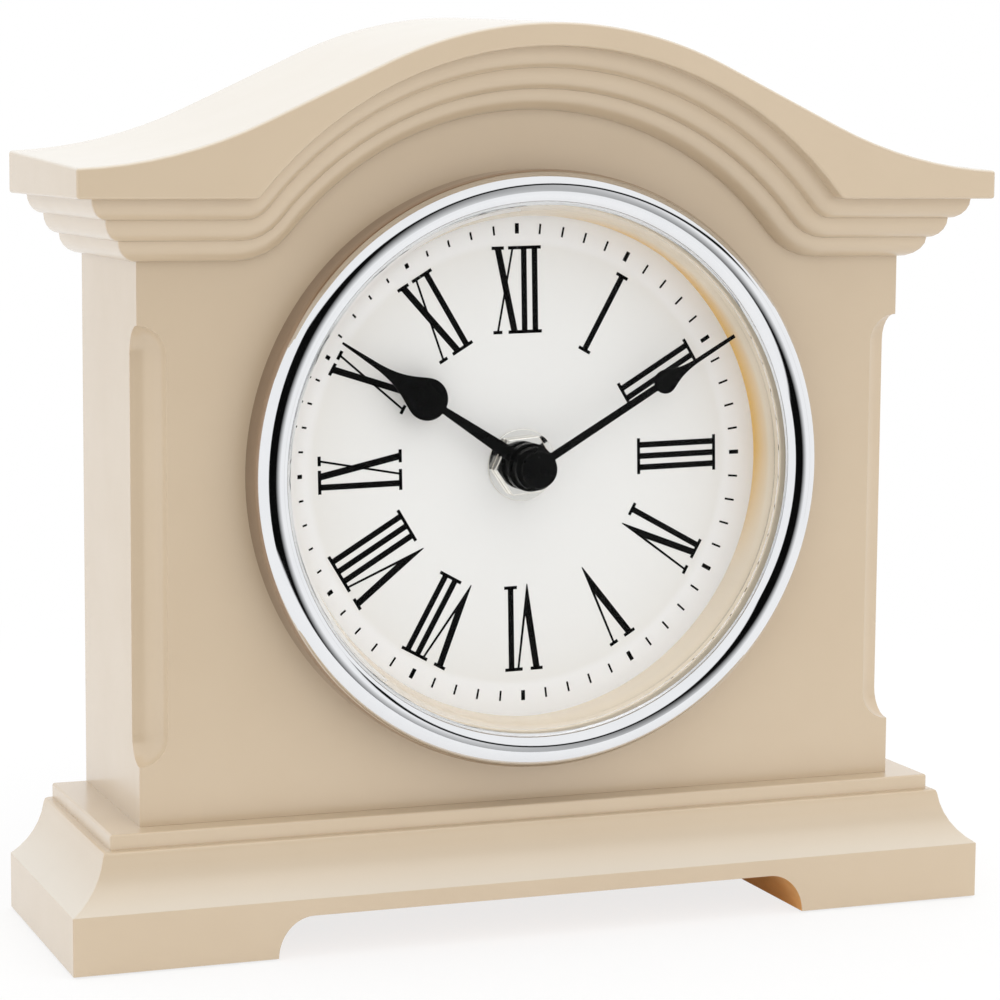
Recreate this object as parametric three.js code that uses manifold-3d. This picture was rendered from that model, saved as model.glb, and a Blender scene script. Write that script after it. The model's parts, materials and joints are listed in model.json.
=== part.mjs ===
import * as THREE from 'three';
import { mergeVertices } from 'three/addons/utils/BufferGeometryUtils.js';
import Module from 'manifold-3d';

// Mantel clock with an arched top, a round dial and a radio-controlled quartz movement.
// Millimetres, +Z up, the dial faces -Y. While it is built, y = 0 is the front face of the case
// body and z = 0 is the table; the last lines centre the clock over the origin.

// Clearances
const fitGap = 0.3;
const runGap = 0.1;
const layerGap = 0.4;

// Case body
const bodyWidth = 164;
const bodyHeight = 110.6;
const bodyDepth = 46.6;
const frontBoardThickness = 15;
const sideBoardThickness = 15;
const backPanelThickness = 3.2;
const rabbetWidth = 9;
const fluteRadius = 5.8;
const fluteFoot = 11.8;
const fluteHead = 12.2;

// Base
const padRadius = 6;
const padThickness = 1.2;
const padProud = 0.4;
const padInset = 14;
const slabHeight = 11.5;
const slabSideOverhang = 16.1;
const slabFrontOverhang = 11.5;
const footCutWidth = 114;
const footCutHeight = 8.5;
const footCutRound = 7.3;
const coveHeight = 10.4;
const coveRadius = 14.5;
const coveTopSideOverhang = 9;
const coveTopFrontOverhang = 6.9;
const shoulderRound = 0.9;
const capHeight = 3;
const capSideOverhang = 7.2;
const capFrontOverhang = 5.2;

// Cornice and roof
const ovoloHeight = 4.1;
const lowerOvoloProjection = 4.6;
const middleOvoloProjection = 3.2;
const upperOvoloProjection = 3.4;
const archRadius = 66.3;
const archCentreRise = 5.8;
const roofFillet = 1.7;
const roofOverhang = 14.8;
const roofEndThickness = 5.7;
const crownThickness = 4.6;
const crownFlankAngle = 25.3;
const roofHollowRadius = 95;
const roofFall = 2.8;

// Bezel, glass and dial
const dialRise = 68.3;
const dialRecess = 6.85;
const dialThickness = 0.8;
const bezelOuterRadius = 60.4;
const bezelFaceWidth = 7.4;
const bezelSkirtInset = 2.2;
const bezelSkirtThickness = 1.3;
const beadDepth = 3.8;
const beadSink = 0.7;
const beadLip = 1.5;
const glassThickness = 1.8;
const glassFillet = 5;
const glassFilletWidth = 2.9;
const glassClearance = 0.5;
const wellWall = 3.4;
const wellTaper = 0.8;

// Hands; lengths along a hand are shares of the reach inside the well
const minuteAngle = 59.3;
const hourAngle = 303;
const handThickness = 0.5;
const handTipGap = 1.2;
const minuteHand = {
  length: 1, root: 1.7, shaft: 1.4, blade: 2.45, bladeAt: 0.65, needle: 0.9, needleAt: 0.81, tip: 0.75,
};
const hourHand = {
  length: 0.93, root: 3.3, shaft: 1.5, blade: 4.3, bladeAt: 0.514, needle: 1.1, needleAt: 0.781, tip: 0.45,
};
const bladeShoulder = 20;
const bladeSwell = 0.6;
const bladeWaist = 1.47;
const waistWidth = 0.7;
const minuteCollarRadius = 4.4;
const minuteCollarDepth = 2.5;
const hourCollarRadius = 4.95;
const hourCollarDepth = 2.1;
const hubCapRadius = 3.8;
const hubCapDepth = 1.8;
const hubCapRound = 0.6;
const arborInCap = 1;

// Centre fixing
const bushRadius = 3.9;
const bushWall = 1.1;
const bushFlangeRadius = 5.5;
const bushFlangeThickness = 0.8;
const bushProud = 0.75;
const nutAcrossFlats = 11.6;
const nutThickness = 2.2;
const nutTurn = 5;
const washerRadius = 7.4;
const washerThickness = 0.5;
const rubberRadius = 9;
const rubberThickness = 0.5;
const pipeWall = 0.75;
const pipeProud = 0.15;

// Movement housing
const contactRoom = 3.5;
const movementAbove = 34;
const movementBelow = 40;
const movementDepth = 17;
const housingWall = 1.5;
const movementClearance = 1;
const bayWall = 1.2;
const postRadius = 1.8;
const bridgeThickness = 1;
const bridgeMargin = 0.5;

// Wheel train
const gearModule = 0.5;
const gearThickness = 1.2;
const toothAddendum = 0.85;
const toothDedendum = 1.15;
const toothRootShare = 0.24;
const toothTipShare = 0.09;
const centreTeeth = 48;
const thirdTeeth = 40;
const trainPinionTeeth = 8;
const cannonTeeth = 12;
const motionTeeth = 36;
const motionPinionTeeth = 10;
const hourTeeth = 40;
const thirdDirection = 60;
const rotorDirection = -10;
const motionDirection = 210;
const pivotRadius = 0.5;
const arborRadius = 0.8;
const studRadius = 0.9;
const bossRadius = 1.6;
const bossHeight = 1;
const magnetRadius = 3;
const magnetDepth = 2.6;
const statorThickness = 0.8;
const coilRadius = 3.2;
const coilBore = 1.9;
const coilLength = 14;

// Electrical pieces
const boardThickness = 1;
const boardWidth = 22;
const boardHeight = 40;
const chipSize = 6;
const chipHeight = 1.2;
const crystalRadius = 1;
const crystalLength = 6;
const antennaRadius = 3;
const antennaLength = 50;
const antennaCoilRadius = 4.2;
const antennaCoilLength = 18;
const batteryRadius = 7.1;
const batteryLength = 50;
const terminalRadius = 2.6;
const terminalLength = 1.2;
const contactThickness = 0.4;
const contactWidth = 9;
const buttonRadius = 2.2;
const buttonProud = 0.9;
const buttonTravel = 0.8;
const buttonFlange = 0.8;
const buttonSpacing = 11;

// Back panel
const windowMargin = 4;
const windowRound = 4;
const screwShank = 1.5;
const screwHead = 2.9;
const screwHeadDepth = 1.6;
const screwLength = 13;
const screwInset = 19;

// Heights that follow from the sizes above
const slabTop = padProud + slabHeight;
const coveTop = slabTop + coveHeight;
const capFoot = coveTop + shoulderRound;
const plinthTop = capFoot + capHeight;
const shoulderLine = plinthTop + bodyHeight;
const corniceHeight = 3 * ovoloHeight;
const roofFoot = shoulderLine + corniceHeight;
const dialHeight = plinthTop + dialRise;
const archHeight = dialHeight + archCentreRise;
const halfBody = bodyWidth / 2;
const halfSlab = halfBody + slabSideOverhang;
const halfRoof = halfBody + roofOverhang;
const halfCut = footCutWidth / 2;
const panelHalf = halfBody - sideBoardThickness + rabbetWidth - fitGap;
const panelFront = bodyDepth - backPanelThickness;

// Depths along the dial axis, counted from the front face of the body towards the back
const dialBack = dialRecess + dialThickness;
const washerFront = dialRecess - washerThickness;
const nutFront = washerFront - nutThickness;
const bushFront = nutFront - bushProud;
const hourCollarBack = bushFront - fitGap;
const hourCollarFront = hourCollarBack - hourCollarDepth;
const pipeFront = hourCollarFront - pipeProud;
const minuteCollarBack = pipeFront - fitGap;
const minuteCollarFront = minuteCollarBack - minuteCollarDepth;
const hubCapBack = minuteCollarFront - fitGap;
const hubCapFront = hubCapBack - hubCapDepth;
const glassBack = hubCapFront - glassClearance;
const glassFront = glassBack - glassThickness;
const lipBack = glassFront - fitGap;
const housingFront = dialBack + rubberThickness;
const housingFloor = housingFront + housingWall;
const housingBack = housingFront + movementDepth;
const coverFront = housingBack - housingWall;
const hourWheelFront = housingFloor + bushFlangeThickness + fitGap;
const hourWheelBack = hourWheelFront + gearThickness;
const cannonFront = hourWheelBack + fitGap;
const cannonBack = cannonFront + gearThickness;
const centreFront = cannonBack + layerGap;
const centreBack = centreFront + gearThickness;
const thirdFront = centreBack + layerGap;
const thirdBack = thirdFront + gearThickness;
const bridgeFront = thirdBack + layerGap;
const bridgeBack = bridgeFront + bridgeThickness;
const boardBack = bridgeBack + boardThickness;

// Radii of the centre fixing and of the parts that nest in it
const boreRadius = bezelOuterRadius - bezelSkirtInset + fitGap;
const skirtInner = bezelOuterRadius - bezelSkirtInset - bezelSkirtThickness;
const wellOuterRadius = skirtInner - fitGap;
const wellMouthRadius = wellOuterRadius - wellWall;
const wellFootRadius = wellMouthRadius - wellTaper;
const handReach = wellFootRadius - handTipGap;
const bushBore = bushRadius - bushWall;
const pipeRadius = bushBore - runGap;
const pipeBore = pipeRadius - pipeWall;
const minuteArborRadius = pipeBore - runGap;

// Places of the wheel train, from the dial axis
const thirdDistance = (centreTeeth + trainPinionTeeth) * gearModule / 2;
const rotorDistance = (thirdTeeth + trainPinionTeeth) * gearModule / 2;
const motionDistance = (cannonTeeth + motionTeeth) * gearModule / 2;
const hourModule = 2 * motionDistance / (motionPinionTeeth + hourTeeth);
const thirdPlace = polar(thirdDistance, thirdDirection);
const rotorPlace = polar(rotorDistance, rotorDirection).add(thirdPlace);
const motionPlace = polar(motionDistance, motionDirection);

// Inside of the movement housing, from the dial axis
const insideHalf = batteryLength / 2 + contactRoom;
const movementHalf = insideHalf + housingWall;
const insideTop = movementAbove - housingWall;
const insideBottom = -movementBelow + housingWall;
const batteryHeight = insideBottom + batteryRadius + fitGap;
const batteryDepth = housingFloor + batteryRadius + fitGap;
const bayTop = batteryHeight + batteryRadius + fitGap;
const bridgeHalf = insideHalf - bridgeMargin;
const bridgeFoot = bayTop + bayWall + bridgeMargin;
const antennaHeight = insideTop - antennaCoilRadius - fitGap;
const antennaDepth = housingFloor + antennaCoilRadius + fitGap;
const bridgeHead = antennaHeight - antennaCoilRadius - bridgeMargin;
const statorRim = magnetRadius + 2 * layerGap + arborRadius;
const coilPlace = rotorPlace.x + statorRim - arborRadius - runGap;
const coilHigh = -bossRadius;
const statorDepth = housingFloor + coilRadius + fitGap;
const boardLeft = -bridgeHalf + bridgeMargin;
const boardFoot = bridgeFoot + bridgeMargin;
const buttonColumn = boardLeft + buttonRadius * 3;
const buttonMiddle = boardFoot + boardHeight / 2;
const buttonNames = ['reset_button', 'set_button', 'receive_button'];

// Smoothness
const ringSteps = 48;
const boreSteps = 24;
const pinSteps = 12;
const archSteps = 28;
const filletSteps = 4;
const ovoloSteps = 5;
const coveSteps = 6;
const beadSteps = 8;
const edgeSteps = 3;
const curveSteps = 8;
const weld = 1e-4;
const through = 1;

// Solids: three.js geometry made into closed bodies, joined and cut with manifold-3d
const wasm = await Module();
wasm.setup();

function polar(distance, degrees) {
  const angle = THREE.MathUtils.degToRad(degrees);
  return new THREE.Vector2(distance * Math.cos(angle), distance * Math.sin(angle));
}

function signedVolume(positions, triangles) {
  const corner = [new THREE.Vector3(), new THREE.Vector3(), new THREE.Vector3()];
  let volume = 0;
  for (let i = 0; i < triangles.length; i += 3) {
    corner.forEach((point, k) => point.fromArray(positions, 3 * triangles[i + k]));
    volume += corner[0].dot(corner[1].cross(corner[2]));
  }
  return volume;
}

function closedBody(geometry) {
  const bare = geometry.clone();
  bare.deleteAttribute('normal');
  bare.deleteAttribute('uv');
  const merged = mergeVertices(bare, weld);
  const positions = merged.getAttribute('position').array;
  const index = merged.getIndex().array;
  const triangles = [];
  for (let i = 0; i < index.length; i += 3) {
    const [a, b, c] = [index[i], index[i + 1], index[i + 2]];
    if (a !== b && b !== c && c !== a) triangles.push(a, b, c);
  }
  if (signedVolume(positions, triangles) < 0) triangles.reverse();
  const body = new THREE.BufferGeometry();
  body.setAttribute('position', new THREE.BufferAttribute(new Float32Array(positions), 3));
  body.setIndex(triangles);
  return body;
}

function toSolid(geometry) {
  const body = closedBody(geometry);
  const vertProperties = body.getAttribute('position').array;
  const triVerts = new Uint32Array(body.getIndex().array);
  return new wasm.Manifold(new wasm.Mesh({ numProp: 3, vertProperties, triVerts }));
}

function toGeometry(solid) {
  const mesh = solid.getMesh();
  const geometry = new THREE.BufferGeometry();
  geometry.setAttribute('position', new THREE.BufferAttribute(new Float32Array(mesh.vertProperties), 3));
  geometry.setIndex(Array.from(mesh.triVerts));
  return geometry;
}

function join(first, ...others) {
  return toGeometry(others.reduce((solid, other) => solid.add(toSolid(other)), toSolid(first)));
}

function cut(first, ...tools) {
  return toGeometry(tools.reduce((solid, tool) => solid.subtract(toSolid(tool)), toSolid(first)));
}

function common(first, second) {
  return toGeometry(toSolid(first).intersect(toSolid(second)));
}

// A shape drawn as the clock is seen from the front, given depth from yFront to yBack
function extrudeAlongY(shape, yFront, yBack, curveSegments = curveSteps) {
  const options = { depth: yBack - yFront, bevelEnabled: false, curveSegments };
  const geometry = new THREE.ExtrudeGeometry(shape, options);
  geometry.rotateX(Math.PI / 2);
  geometry.translate(0, yBack, 0);
  return geometry;
}

// A shape drawn in plan, given height from zFoot to zHead
function extrudeUp(shape, zFoot, zHead) {
  const geometry = new THREE.ExtrudeGeometry(shape, { depth: zHead - zFoot, bevelEnabled: false });
  geometry.translate(0, 0, zFoot);
  return geometry;
}

// A profile of [radius, y] pairs turned about the Y axis
function turned(profile, steps) {
  const points = profile.map(([radius, y]) => new THREE.Vector2(radius, y));
  return new THREE.LatheGeometry(points, steps);
}

function turnedRing(profile, steps) {
  return turned([...profile, profile[0]], steps);
}

function rod(radius, yFront, yBack, steps = boreSteps, place = new THREE.Vector2()) {
  const geometry = turned([[0, yFront], [radius, yFront], [radius, yBack], [0, yBack]], steps);
  geometry.translate(place.x, 0, place.y);
  return geometry;
}

function tube(outer, inner, yFront, yBack, steps = boreSteps, place = new THREE.Vector2()) {
  const profile = [[inner, yFront], [outer, yFront], [outer, yBack], [inner, yBack]];
  const geometry = turnedRing(profile, steps);
  geometry.translate(place.x, 0, place.y);
  return geometry;
}

function block(x0, x1, y0, y1, z0, z1) {
  const geometry = new THREE.BoxGeometry(x1 - x0, y1 - y0, z1 - z0);
  geometry.translate((x0 + x1) / 2, (y0 + y1) / 2, (z0 + z1) / 2);
  return geometry;
}

function rectangle(x0, x1, z0, z1, round = 0) {
  const shape = new THREE.Shape();
  shape.moveTo(x0 + round, z0);
  shape.lineTo(x1 - round, z0);
  if (round) shape.absarc(x1 - round, z0 + round, round, -Math.PI / 2, 0);
  shape.lineTo(x1, z1 - round);
  if (round) shape.absarc(x1 - round, z1 - round, round, 0, Math.PI / 2);
  shape.lineTo(x0 + round, z1);
  if (round) shape.absarc(x0 + round, z1 - round, round, Math.PI / 2, Math.PI);
  shape.lineTo(x0, z0 + round);
  if (round) shape.absarc(x0 + round, z0 + round, round, Math.PI, 1.5 * Math.PI);
  return shape;
}

// Rings of points of equal count, skinned into a closed body with flat ends
function loft(rings) {
  const count = rings[0].length;
  const positions = rings.flat().flatMap((point) => [point.x, point.y, point.z]);
  const triangles = [];
  for (let i = 0; i + 1 < rings.length; i += 1) {
    for (let j = 0; j < count; j += 1) {
      const [a, b] = [i * count + j, i * count + (j + 1) % count];
      triangles.push(a, b, b + count, a, b + count, a + count);
    }
  }
  const last = (rings.length - 1) * count;
  for (let j = 1; j + 1 < count; j += 1) {
    triangles.push(0, j + 1, j, last, last + j, last + j + 1);
  }
  const geometry = new THREE.BufferGeometry();
  geometry.setAttribute('position', new THREE.Float32BufferAttribute(positions, 3));
  geometry.setIndex(triangles);
  return geometry;
}

function steps(count) {
  return Array.from({ length: count + 1 }, (_, i) => i / count);
}

// Finishes
function satinPaint() {
  return new THREE.MeshStandardMaterial({ color: 0xdccbb2, roughness: 0.55, metalness: 0 });
}

function chromePlate() {
  return new THREE.MeshStandardMaterial({ color: 0xe3e5e8, roughness: 0.06, metalness: 1 });
}

function clearGlass() {
  const look = { color: 0xf4f8f8, roughness: 0.02, metalness: 0, transparent: true, opacity: 0.15 };
  return new THREE.MeshStandardMaterial(look);
}

function printedCard() {
  return new THREE.MeshStandardMaterial({ color: 0xeeece8, roughness: 0.5, metalness: 0 });
}

function blackEnamel() {
  return new THREE.MeshStandardMaterial({ color: 0x0b0b0c, roughness: 0.35, metalness: 0.2 });
}

function nickelPlate() {
  return new THREE.MeshStandardMaterial({ color: 0xc9c5bd, roughness: 0.18, metalness: 1 });
}

function brass() {
  return new THREE.MeshStandardMaterial({ color: 0xc9a45a, roughness: 0.3, metalness: 1 });
}

function blackPlastic() {
  return new THREE.MeshStandardMaterial({ color: 0x1d1e20, roughness: 0.6, metalness: 0 });
}

function whitePlastic() {
  return new THREE.MeshStandardMaterial({ color: 0xe9e7df, roughness: 0.5, metalness: 0 });
}

function softRubber() {
  return new THREE.MeshStandardMaterial({ color: 0x2a2a2a, roughness: 0.9, metalness: 0 });
}

function bareHardboard() {
  return new THREE.MeshStandardMaterial({ color: 0x2b2724, roughness: 0.8, metalness: 0 });
}

function steel() {
  return new THREE.MeshStandardMaterial({ color: 0x9da0a3, roughness: 0.35, metalness: 1 });
}

function copperWire() {
  return new THREE.MeshStandardMaterial({ color: 0xb5653a, roughness: 0.4, metalness: 0.9 });
}

function ferrite() {
  return new THREE.MeshStandardMaterial({ color: 0x3a3b3d, roughness: 0.7, metalness: 0 });
}

function greenLaminate() {
  return new THREE.MeshStandardMaterial({ color: 0x2f6b3f, roughness: 0.5, metalness: 0 });
}

function batteryJacket() {
  return new THREE.MeshStandardMaterial({ color: 0x2f3338, roughness: 0.4, metalness: 0.3 });
}

// Base of the case
function footPad() {
  return extrudeUp(disc(padRadius), 0, padThickness);
}

function disc(radius) {
  const shape = new THREE.Shape();
  shape.absarc(0, 0, radius, 0, 2 * Math.PI);
  return shape;
}

function padPlaces() {
  const x = halfSlab - padInset;
  const front = padInset - slabFrontOverhang;
  const back = bodyDepth - padInset;
  return [[-x, front], [x, front], [-x, back], [x, back]];
}

function baseSlab() {
  const shape = new THREE.Shape();
  shape.moveTo(-halfSlab, padProud);
  shape.lineTo(-halfCut, padProud);
  const rise = footCutHeight - padProud;
  shape.absellipse(-halfCut + footCutRound, padProud, footCutRound, rise, Math.PI, Math.PI / 2, true);
  shape.absellipse(halfCut - footCutRound, padProud, footCutRound, rise, Math.PI / 2, 0, true);
  shape.lineTo(halfSlab, padProud);
  shape.lineTo(halfSlab, slabTop);
  shape.lineTo(-halfSlab, slabTop);
  const pockets = padPlaces().map(([x, y]) => {
    const pocket = extrudeUp(disc(padRadius + fitGap), padProud - through, padThickness);
    return pocket.translate(x, y, 0);
  });
  return cut(extrudeAlongY(shape, -slabFrontOverhang, bodyDepth), ...pockets);
}

function planRing(sideOverhang, frontOverhang, z) {
  const x = halfBody + sideOverhang;
  const corners = [[-x, -frontOverhang], [x, -frontOverhang], [x, bodyDepth], [-x, bodyDepth]];
  return corners.map(([px, py]) => new THREE.Vector3(px, py, z));
}

// The hollow curve of the base moulding, as shares of its width and height, then a rounded shoulder
function baseCove() {
  const width = slabSideOverhang - coveTopSideOverhang;
  const chord = Math.hypot(width, coveHeight);
  const halfSpread = Math.asin(chord / 2 / coveRadius);
  const chordAngle = Math.atan2(coveHeight, width);
  const rings = steps(coveSteps).map((share) => {
    const turn = chordAngle + halfSpread * (2 * share - 1);
    const start = chordAngle - halfSpread;
    const inward = coveRadius * (Math.sin(turn) - Math.sin(start)) / width;
    const upward = coveRadius * (Math.cos(start) - Math.cos(turn)) / coveHeight;
    const side = slabSideOverhang - width * inward;
    const front = slabFrontOverhang - (slabFrontOverhang - coveTopFrontOverhang) * inward;
    return planRing(side, front, slabTop + coveHeight * upward);
  });
  steps(2).slice(1).forEach((share) => {
    const inset = shoulderRound * (1 - Math.cos(share * Math.PI / 2));
    const lift = shoulderRound * Math.sin(share * Math.PI / 2);
    rings.push(planRing(coveTopSideOverhang - inset, coveTopFrontOverhang - inset, coveTop + lift));
  });
  return loft(rings);
}

function plinthCap() {
  const front = planRing(capSideOverhang, capFrontOverhang, capFoot);
  return loft([front, planRing(capSideOverhang, capFrontOverhang, plinthTop)]);
}

// The line of the cornice as seen from the front, level above the shoulder line, from left to right
function archLine(level, halfWidth) {
  const filletHeight = roofFoot + roofFillet;
  const reach = archRadius + corniceHeight + roofFillet;
  const rise = filletHeight - archHeight;
  const filletX = Math.sqrt(reach * reach - rise * rise);
  const spread = Math.atan2(filletX, rise);
  const filletRadius = roofFillet + corniceHeight - level;
  const arch = archRadius + level;
  const fillet = steps(filletSteps).map((share) => {
    const turn = share * spread;
    const x = filletX - filletRadius * Math.sin(turn);
    return new THREE.Vector2(x, filletHeight - filletRadius * Math.cos(turn));
  });
  const crown = steps(archSteps).slice(1, -1).map((share) => {
    const turn = spread * (2 * share - 1);
    return new THREE.Vector2(arch * Math.sin(turn), archHeight + arch * Math.cos(turn));
  });
  const left = fillet.map((point) => new THREE.Vector2(-point.x, point.y));
  const ends = [-halfWidth, halfWidth].map((x) => new THREE.Vector2(x, shoulderLine + level));
  return [ends[0], ...left, ...crown, ...fillet.reverse(), ends[1]];
}

// A line from left to right, closed by an edge at one height
function closedBelow(line, halfWidth, height) {
  const ends = [halfWidth, -halfWidth].map((x) => new THREE.Vector2(x, height));
  return new THREE.Shape([...line, ...ends]);
}

// One quarter-round moulding, mitred at the front corners and returned along both sides
function ovoloMoulding(footLevel, footProjection, projection) {
  const profile = [[footLevel, 0]];
  if (footProjection > 0) profile.push([footLevel, footProjection]);
  steps(ovoloSteps).slice(1).forEach((share) => {
    const turn = share * Math.PI / 2;
    const level = footLevel + ovoloHeight * (1 - Math.cos(turn));
    profile.push([level, footProjection + projection * Math.sin(turn)]);
  });
  profile.push([footLevel + ovoloHeight, 0]);
  const lines = profile.map(([level, out]) => {
    const across = archLine(level, halfBody + out);
    const run = across.map((point) => new THREE.Vector3(point.x, -out, point.y));
    const [left, right] = [run[0].clone().setY(bodyDepth), run[run.length - 1].clone().setY(bodyDepth)];
    return [left, ...run, right];
  });
  return loft(lines[0].map((_, station) => lines.map((line) => line[station])));
}

function roofTopLine() {
  const crown = archRadius + corniceHeight + crownThickness;
  const flank = THREE.MathUtils.degToRad(crownFlankAngle);
  const low = roofFoot + roofEndThickness;
  const crownEnd = new THREE.Vector2(crown * Math.sin(flank), archHeight + crown * Math.cos(flank));
  const hollowStart = low + roofHollowRadius * (1 - Math.cos(flank));
  const hollowX = crownEnd.x + (crownEnd.y - hollowStart) / Math.tan(flank);
  const lowestX = hollowX + roofHollowRadius * Math.sin(flank);
  const lastTurn = Math.asin(Math.max(0, lowestX - halfRoof) / roofHollowRadius);
  const right = steps(archSteps / 2).map((share) => {
    const turn = flank * share;
    return new THREE.Vector2(crown * Math.sin(turn), archHeight + crown * Math.cos(turn));
  });
  steps(filletSteps * 2).forEach((share) => {
    const turn = flank + (lastTurn - flank) * share;
    const x = lowestX - roofHollowRadius * Math.sin(turn);
    right.push(new THREE.Vector2(x, low + roofHollowRadius * (1 - Math.cos(turn))));
  });
  const end = right[right.length - 1];
  if (end.x < halfRoof - weld) right.push(new THREE.Vector2(halfRoof, end.y));
  const left = right.slice(1).reverse().map((point) => new THREE.Vector2(-point.x, point.y));
  return [...left, ...right];
}

// The roof falls towards the front, so its top is a sheared extrusion cut off at the cornice line
function roofCap() {
  const top = roofTopLine();
  const low = shoulderLine;
  const high = top[Math.floor(top.length / 2)].y + 2 * roofFall + through;
  const above = closedBelow(top, halfRoof, low);
  const crown = extrudeAlongY(above, -roofOverhang, bodyDepth);
  const slope = roofFall / (bodyDepth + roofOverhang);
  const lift = slope * roofOverhang;
  crown.applyMatrix4(new THREE.Matrix4().set(1, 0, 0, 0, 0, 1, 0, 0, 0, slope, 1, lift, 0, 0, 0, 1));
  const wide = halfRoof + through;
  const region = closedBelow(archLine(corniceHeight, wide), wide, high);
  return common(crown, extrudeAlongY(region, -roofOverhang - through, bodyDepth + through));
}

// Boards of the case body
function flute(side) {
  const foot = plinthTop + fluteFoot;
  const head = shoulderLine - fluteHead;
  const straight = head - foot - 2 * fluteRadius;
  const geometry = new THREE.CapsuleGeometry(fluteRadius, straight, coveSteps, boreSteps);
  geometry.rotateX(Math.PI / 2);
  geometry.translate(side * halfBody, 0, (foot + head) / 2);
  return geometry;
}

function movementOpening(margin) {
  const x = movementHalf + margin;
  const foot = dialHeight - movementBelow - margin;
  return [-x, x, foot, dialHeight + movementAbove + margin];
}

function frontBoard() {
  const outline = closedBelow(archLine(corniceHeight, halfBody), halfBody, plinthTop);
  const board = extrudeAlongY(outline, 0, frontBoardThickness);
  const axis = new THREE.Vector2(0, dialHeight);
  const bore = rod(boreRadius, -through, dialBack, ringSteps, axis);
  const hole = rectangle(...movementOpening(movementClearance));
  const opening = extrudeAlongY(hole, dialRecess, frontBoardThickness + through);
  return cut(board, bore, opening, flute(-1), flute(1));
}

function screwPlaces() {
  const x = panelHalf + fitGap - rabbetWidth / 2;
  const heights = [plinthTop + screwInset, shoulderLine - screwInset];
  return [-x, x].flatMap((px) => heights.map((z) => new THREE.Vector2(px, z)));
}

function sideBoard(side) {
  const inner = halfBody - sideBoardThickness;
  const plan = [
    [inner, frontBoardThickness], [halfBody, frontBoardThickness], [halfBody, bodyDepth],
    [inner + rabbetWidth, bodyDepth], [inner + rabbetWidth, panelFront], [inner, panelFront],
  ];
  const shape = new THREE.Shape(plan.map(([x, y]) => new THREE.Vector2(side * x, y)));
  const pilots = screwPlaces().filter((place) => place.x * side > 0).map((place) => {
    return rod(screwShank + fitGap, bodyDepth - screwLength - fitGap, bodyDepth, pinSteps, place);
  });
  return cut(extrudeUp(shape, plinthTop, roofFoot), ...pilots);
}

function backPanel() {
  const line = archLine(corniceHeight - fitGap, panelHalf);
  const shape = closedBelow(line, panelHalf, plinthTop + fitGap);
  shape.holes.push(rectangle(...movementOpening(windowMargin), windowRound));
  const sinks = screwPlaces().flatMap((place) => [
    rod(screwShank + fitGap, panelFront - through, bodyDepth, pinSteps, place),
    countersink(screwHead + fitGap, place),
  ]);
  return cut(extrudeAlongY(shape, panelFront, bodyDepth, filletSteps), ...sinks);
}

function countersink(radius, place) {
  const slope = radius / screwHeadDepth;
  const mouth = bodyDepth + through;
  const profile = [[0, bodyDepth - screwHeadDepth], [radius + through * slope, mouth], [0, mouth]];
  return turned(profile, pinSteps).translate(place.x, 0, place.y);
}

function backScrew() {
  const seat = screwHeadDepth * (1 - screwShank / screwHead);
  const profile = [
    [0, bodyDepth - screwLength], [screwShank, bodyDepth - screwLength + screwShank],
    [screwShank, bodyDepth - seat], [screwHead, bodyDepth], [0, bodyDepth],
  ];
  return turned(profile, pinSteps);
}

// Bezel, glass, well and dial, about the dial axis
function bezelRing() {
  const inner = bezelOuterRadius - bezelFaceWidth;
  const middle = (bezelOuterRadius + inner) / 2;
  const beadBack = lipBack + beadSink;
  const lastTurn = Math.PI - Math.asin(beadLip / beadDepth);
  const profile = [[bezelOuterRadius, 0]];
  steps(beadSteps).forEach((share) => {
    const turn = share * lastTurn;
    const radius = middle + bezelFaceWidth / 2 * Math.cos(turn);
    profile.push([radius, beadBack - beadDepth * Math.sin(turn)]);
  });
  const skirtEnd = dialRecess - fitGap;
  const skirtOuter = boreRadius - fitGap;
  profile.push([skirtInner, lipBack], [skirtInner, skirtEnd], [skirtOuter, skirtEnd], [skirtOuter, 0]);
  return turnedRing(profile, ringSteps);
}

// A flat glass with a locating rim on its inner side, which a hollow fillet leads up to
function glassDisc() {
  const radius = skirtInner - fitGap;
  const locating = wellMouthRadius - fitGap;
  const spread = Math.asin(glassFilletWidth / glassFillet);
  const fillet = steps(edgeSteps).map((share) => {
    const turn = share * spread;
    const across = locating - glassFilletWidth + glassFillet * Math.sin(turn);
    return [across, glassBack + glassFillet * (1 - Math.cos(turn))];
  });
  const face = [[0, glassFront], [radius, glassFront], [radius, glassBack], [locating, glassBack]];
  return turned([...face, ...fillet.reverse(), [0, glassBack]], ringSteps);
}

function dialWell() {
  const mouth = glassBack + fitGap;
  const foot = dialRecess;
  const outer = wellOuterRadius;
  const profile = [[wellMouthRadius, mouth], [outer, mouth], [outer, foot], [wellFootRadius, foot]];
  return turnedRing(profile, ringSteps);
}

function dialPlate() {
  return tube(boreRadius - fitGap, bushRadius + runGap, dialRecess, dialBack, ringSteps);
}

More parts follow.
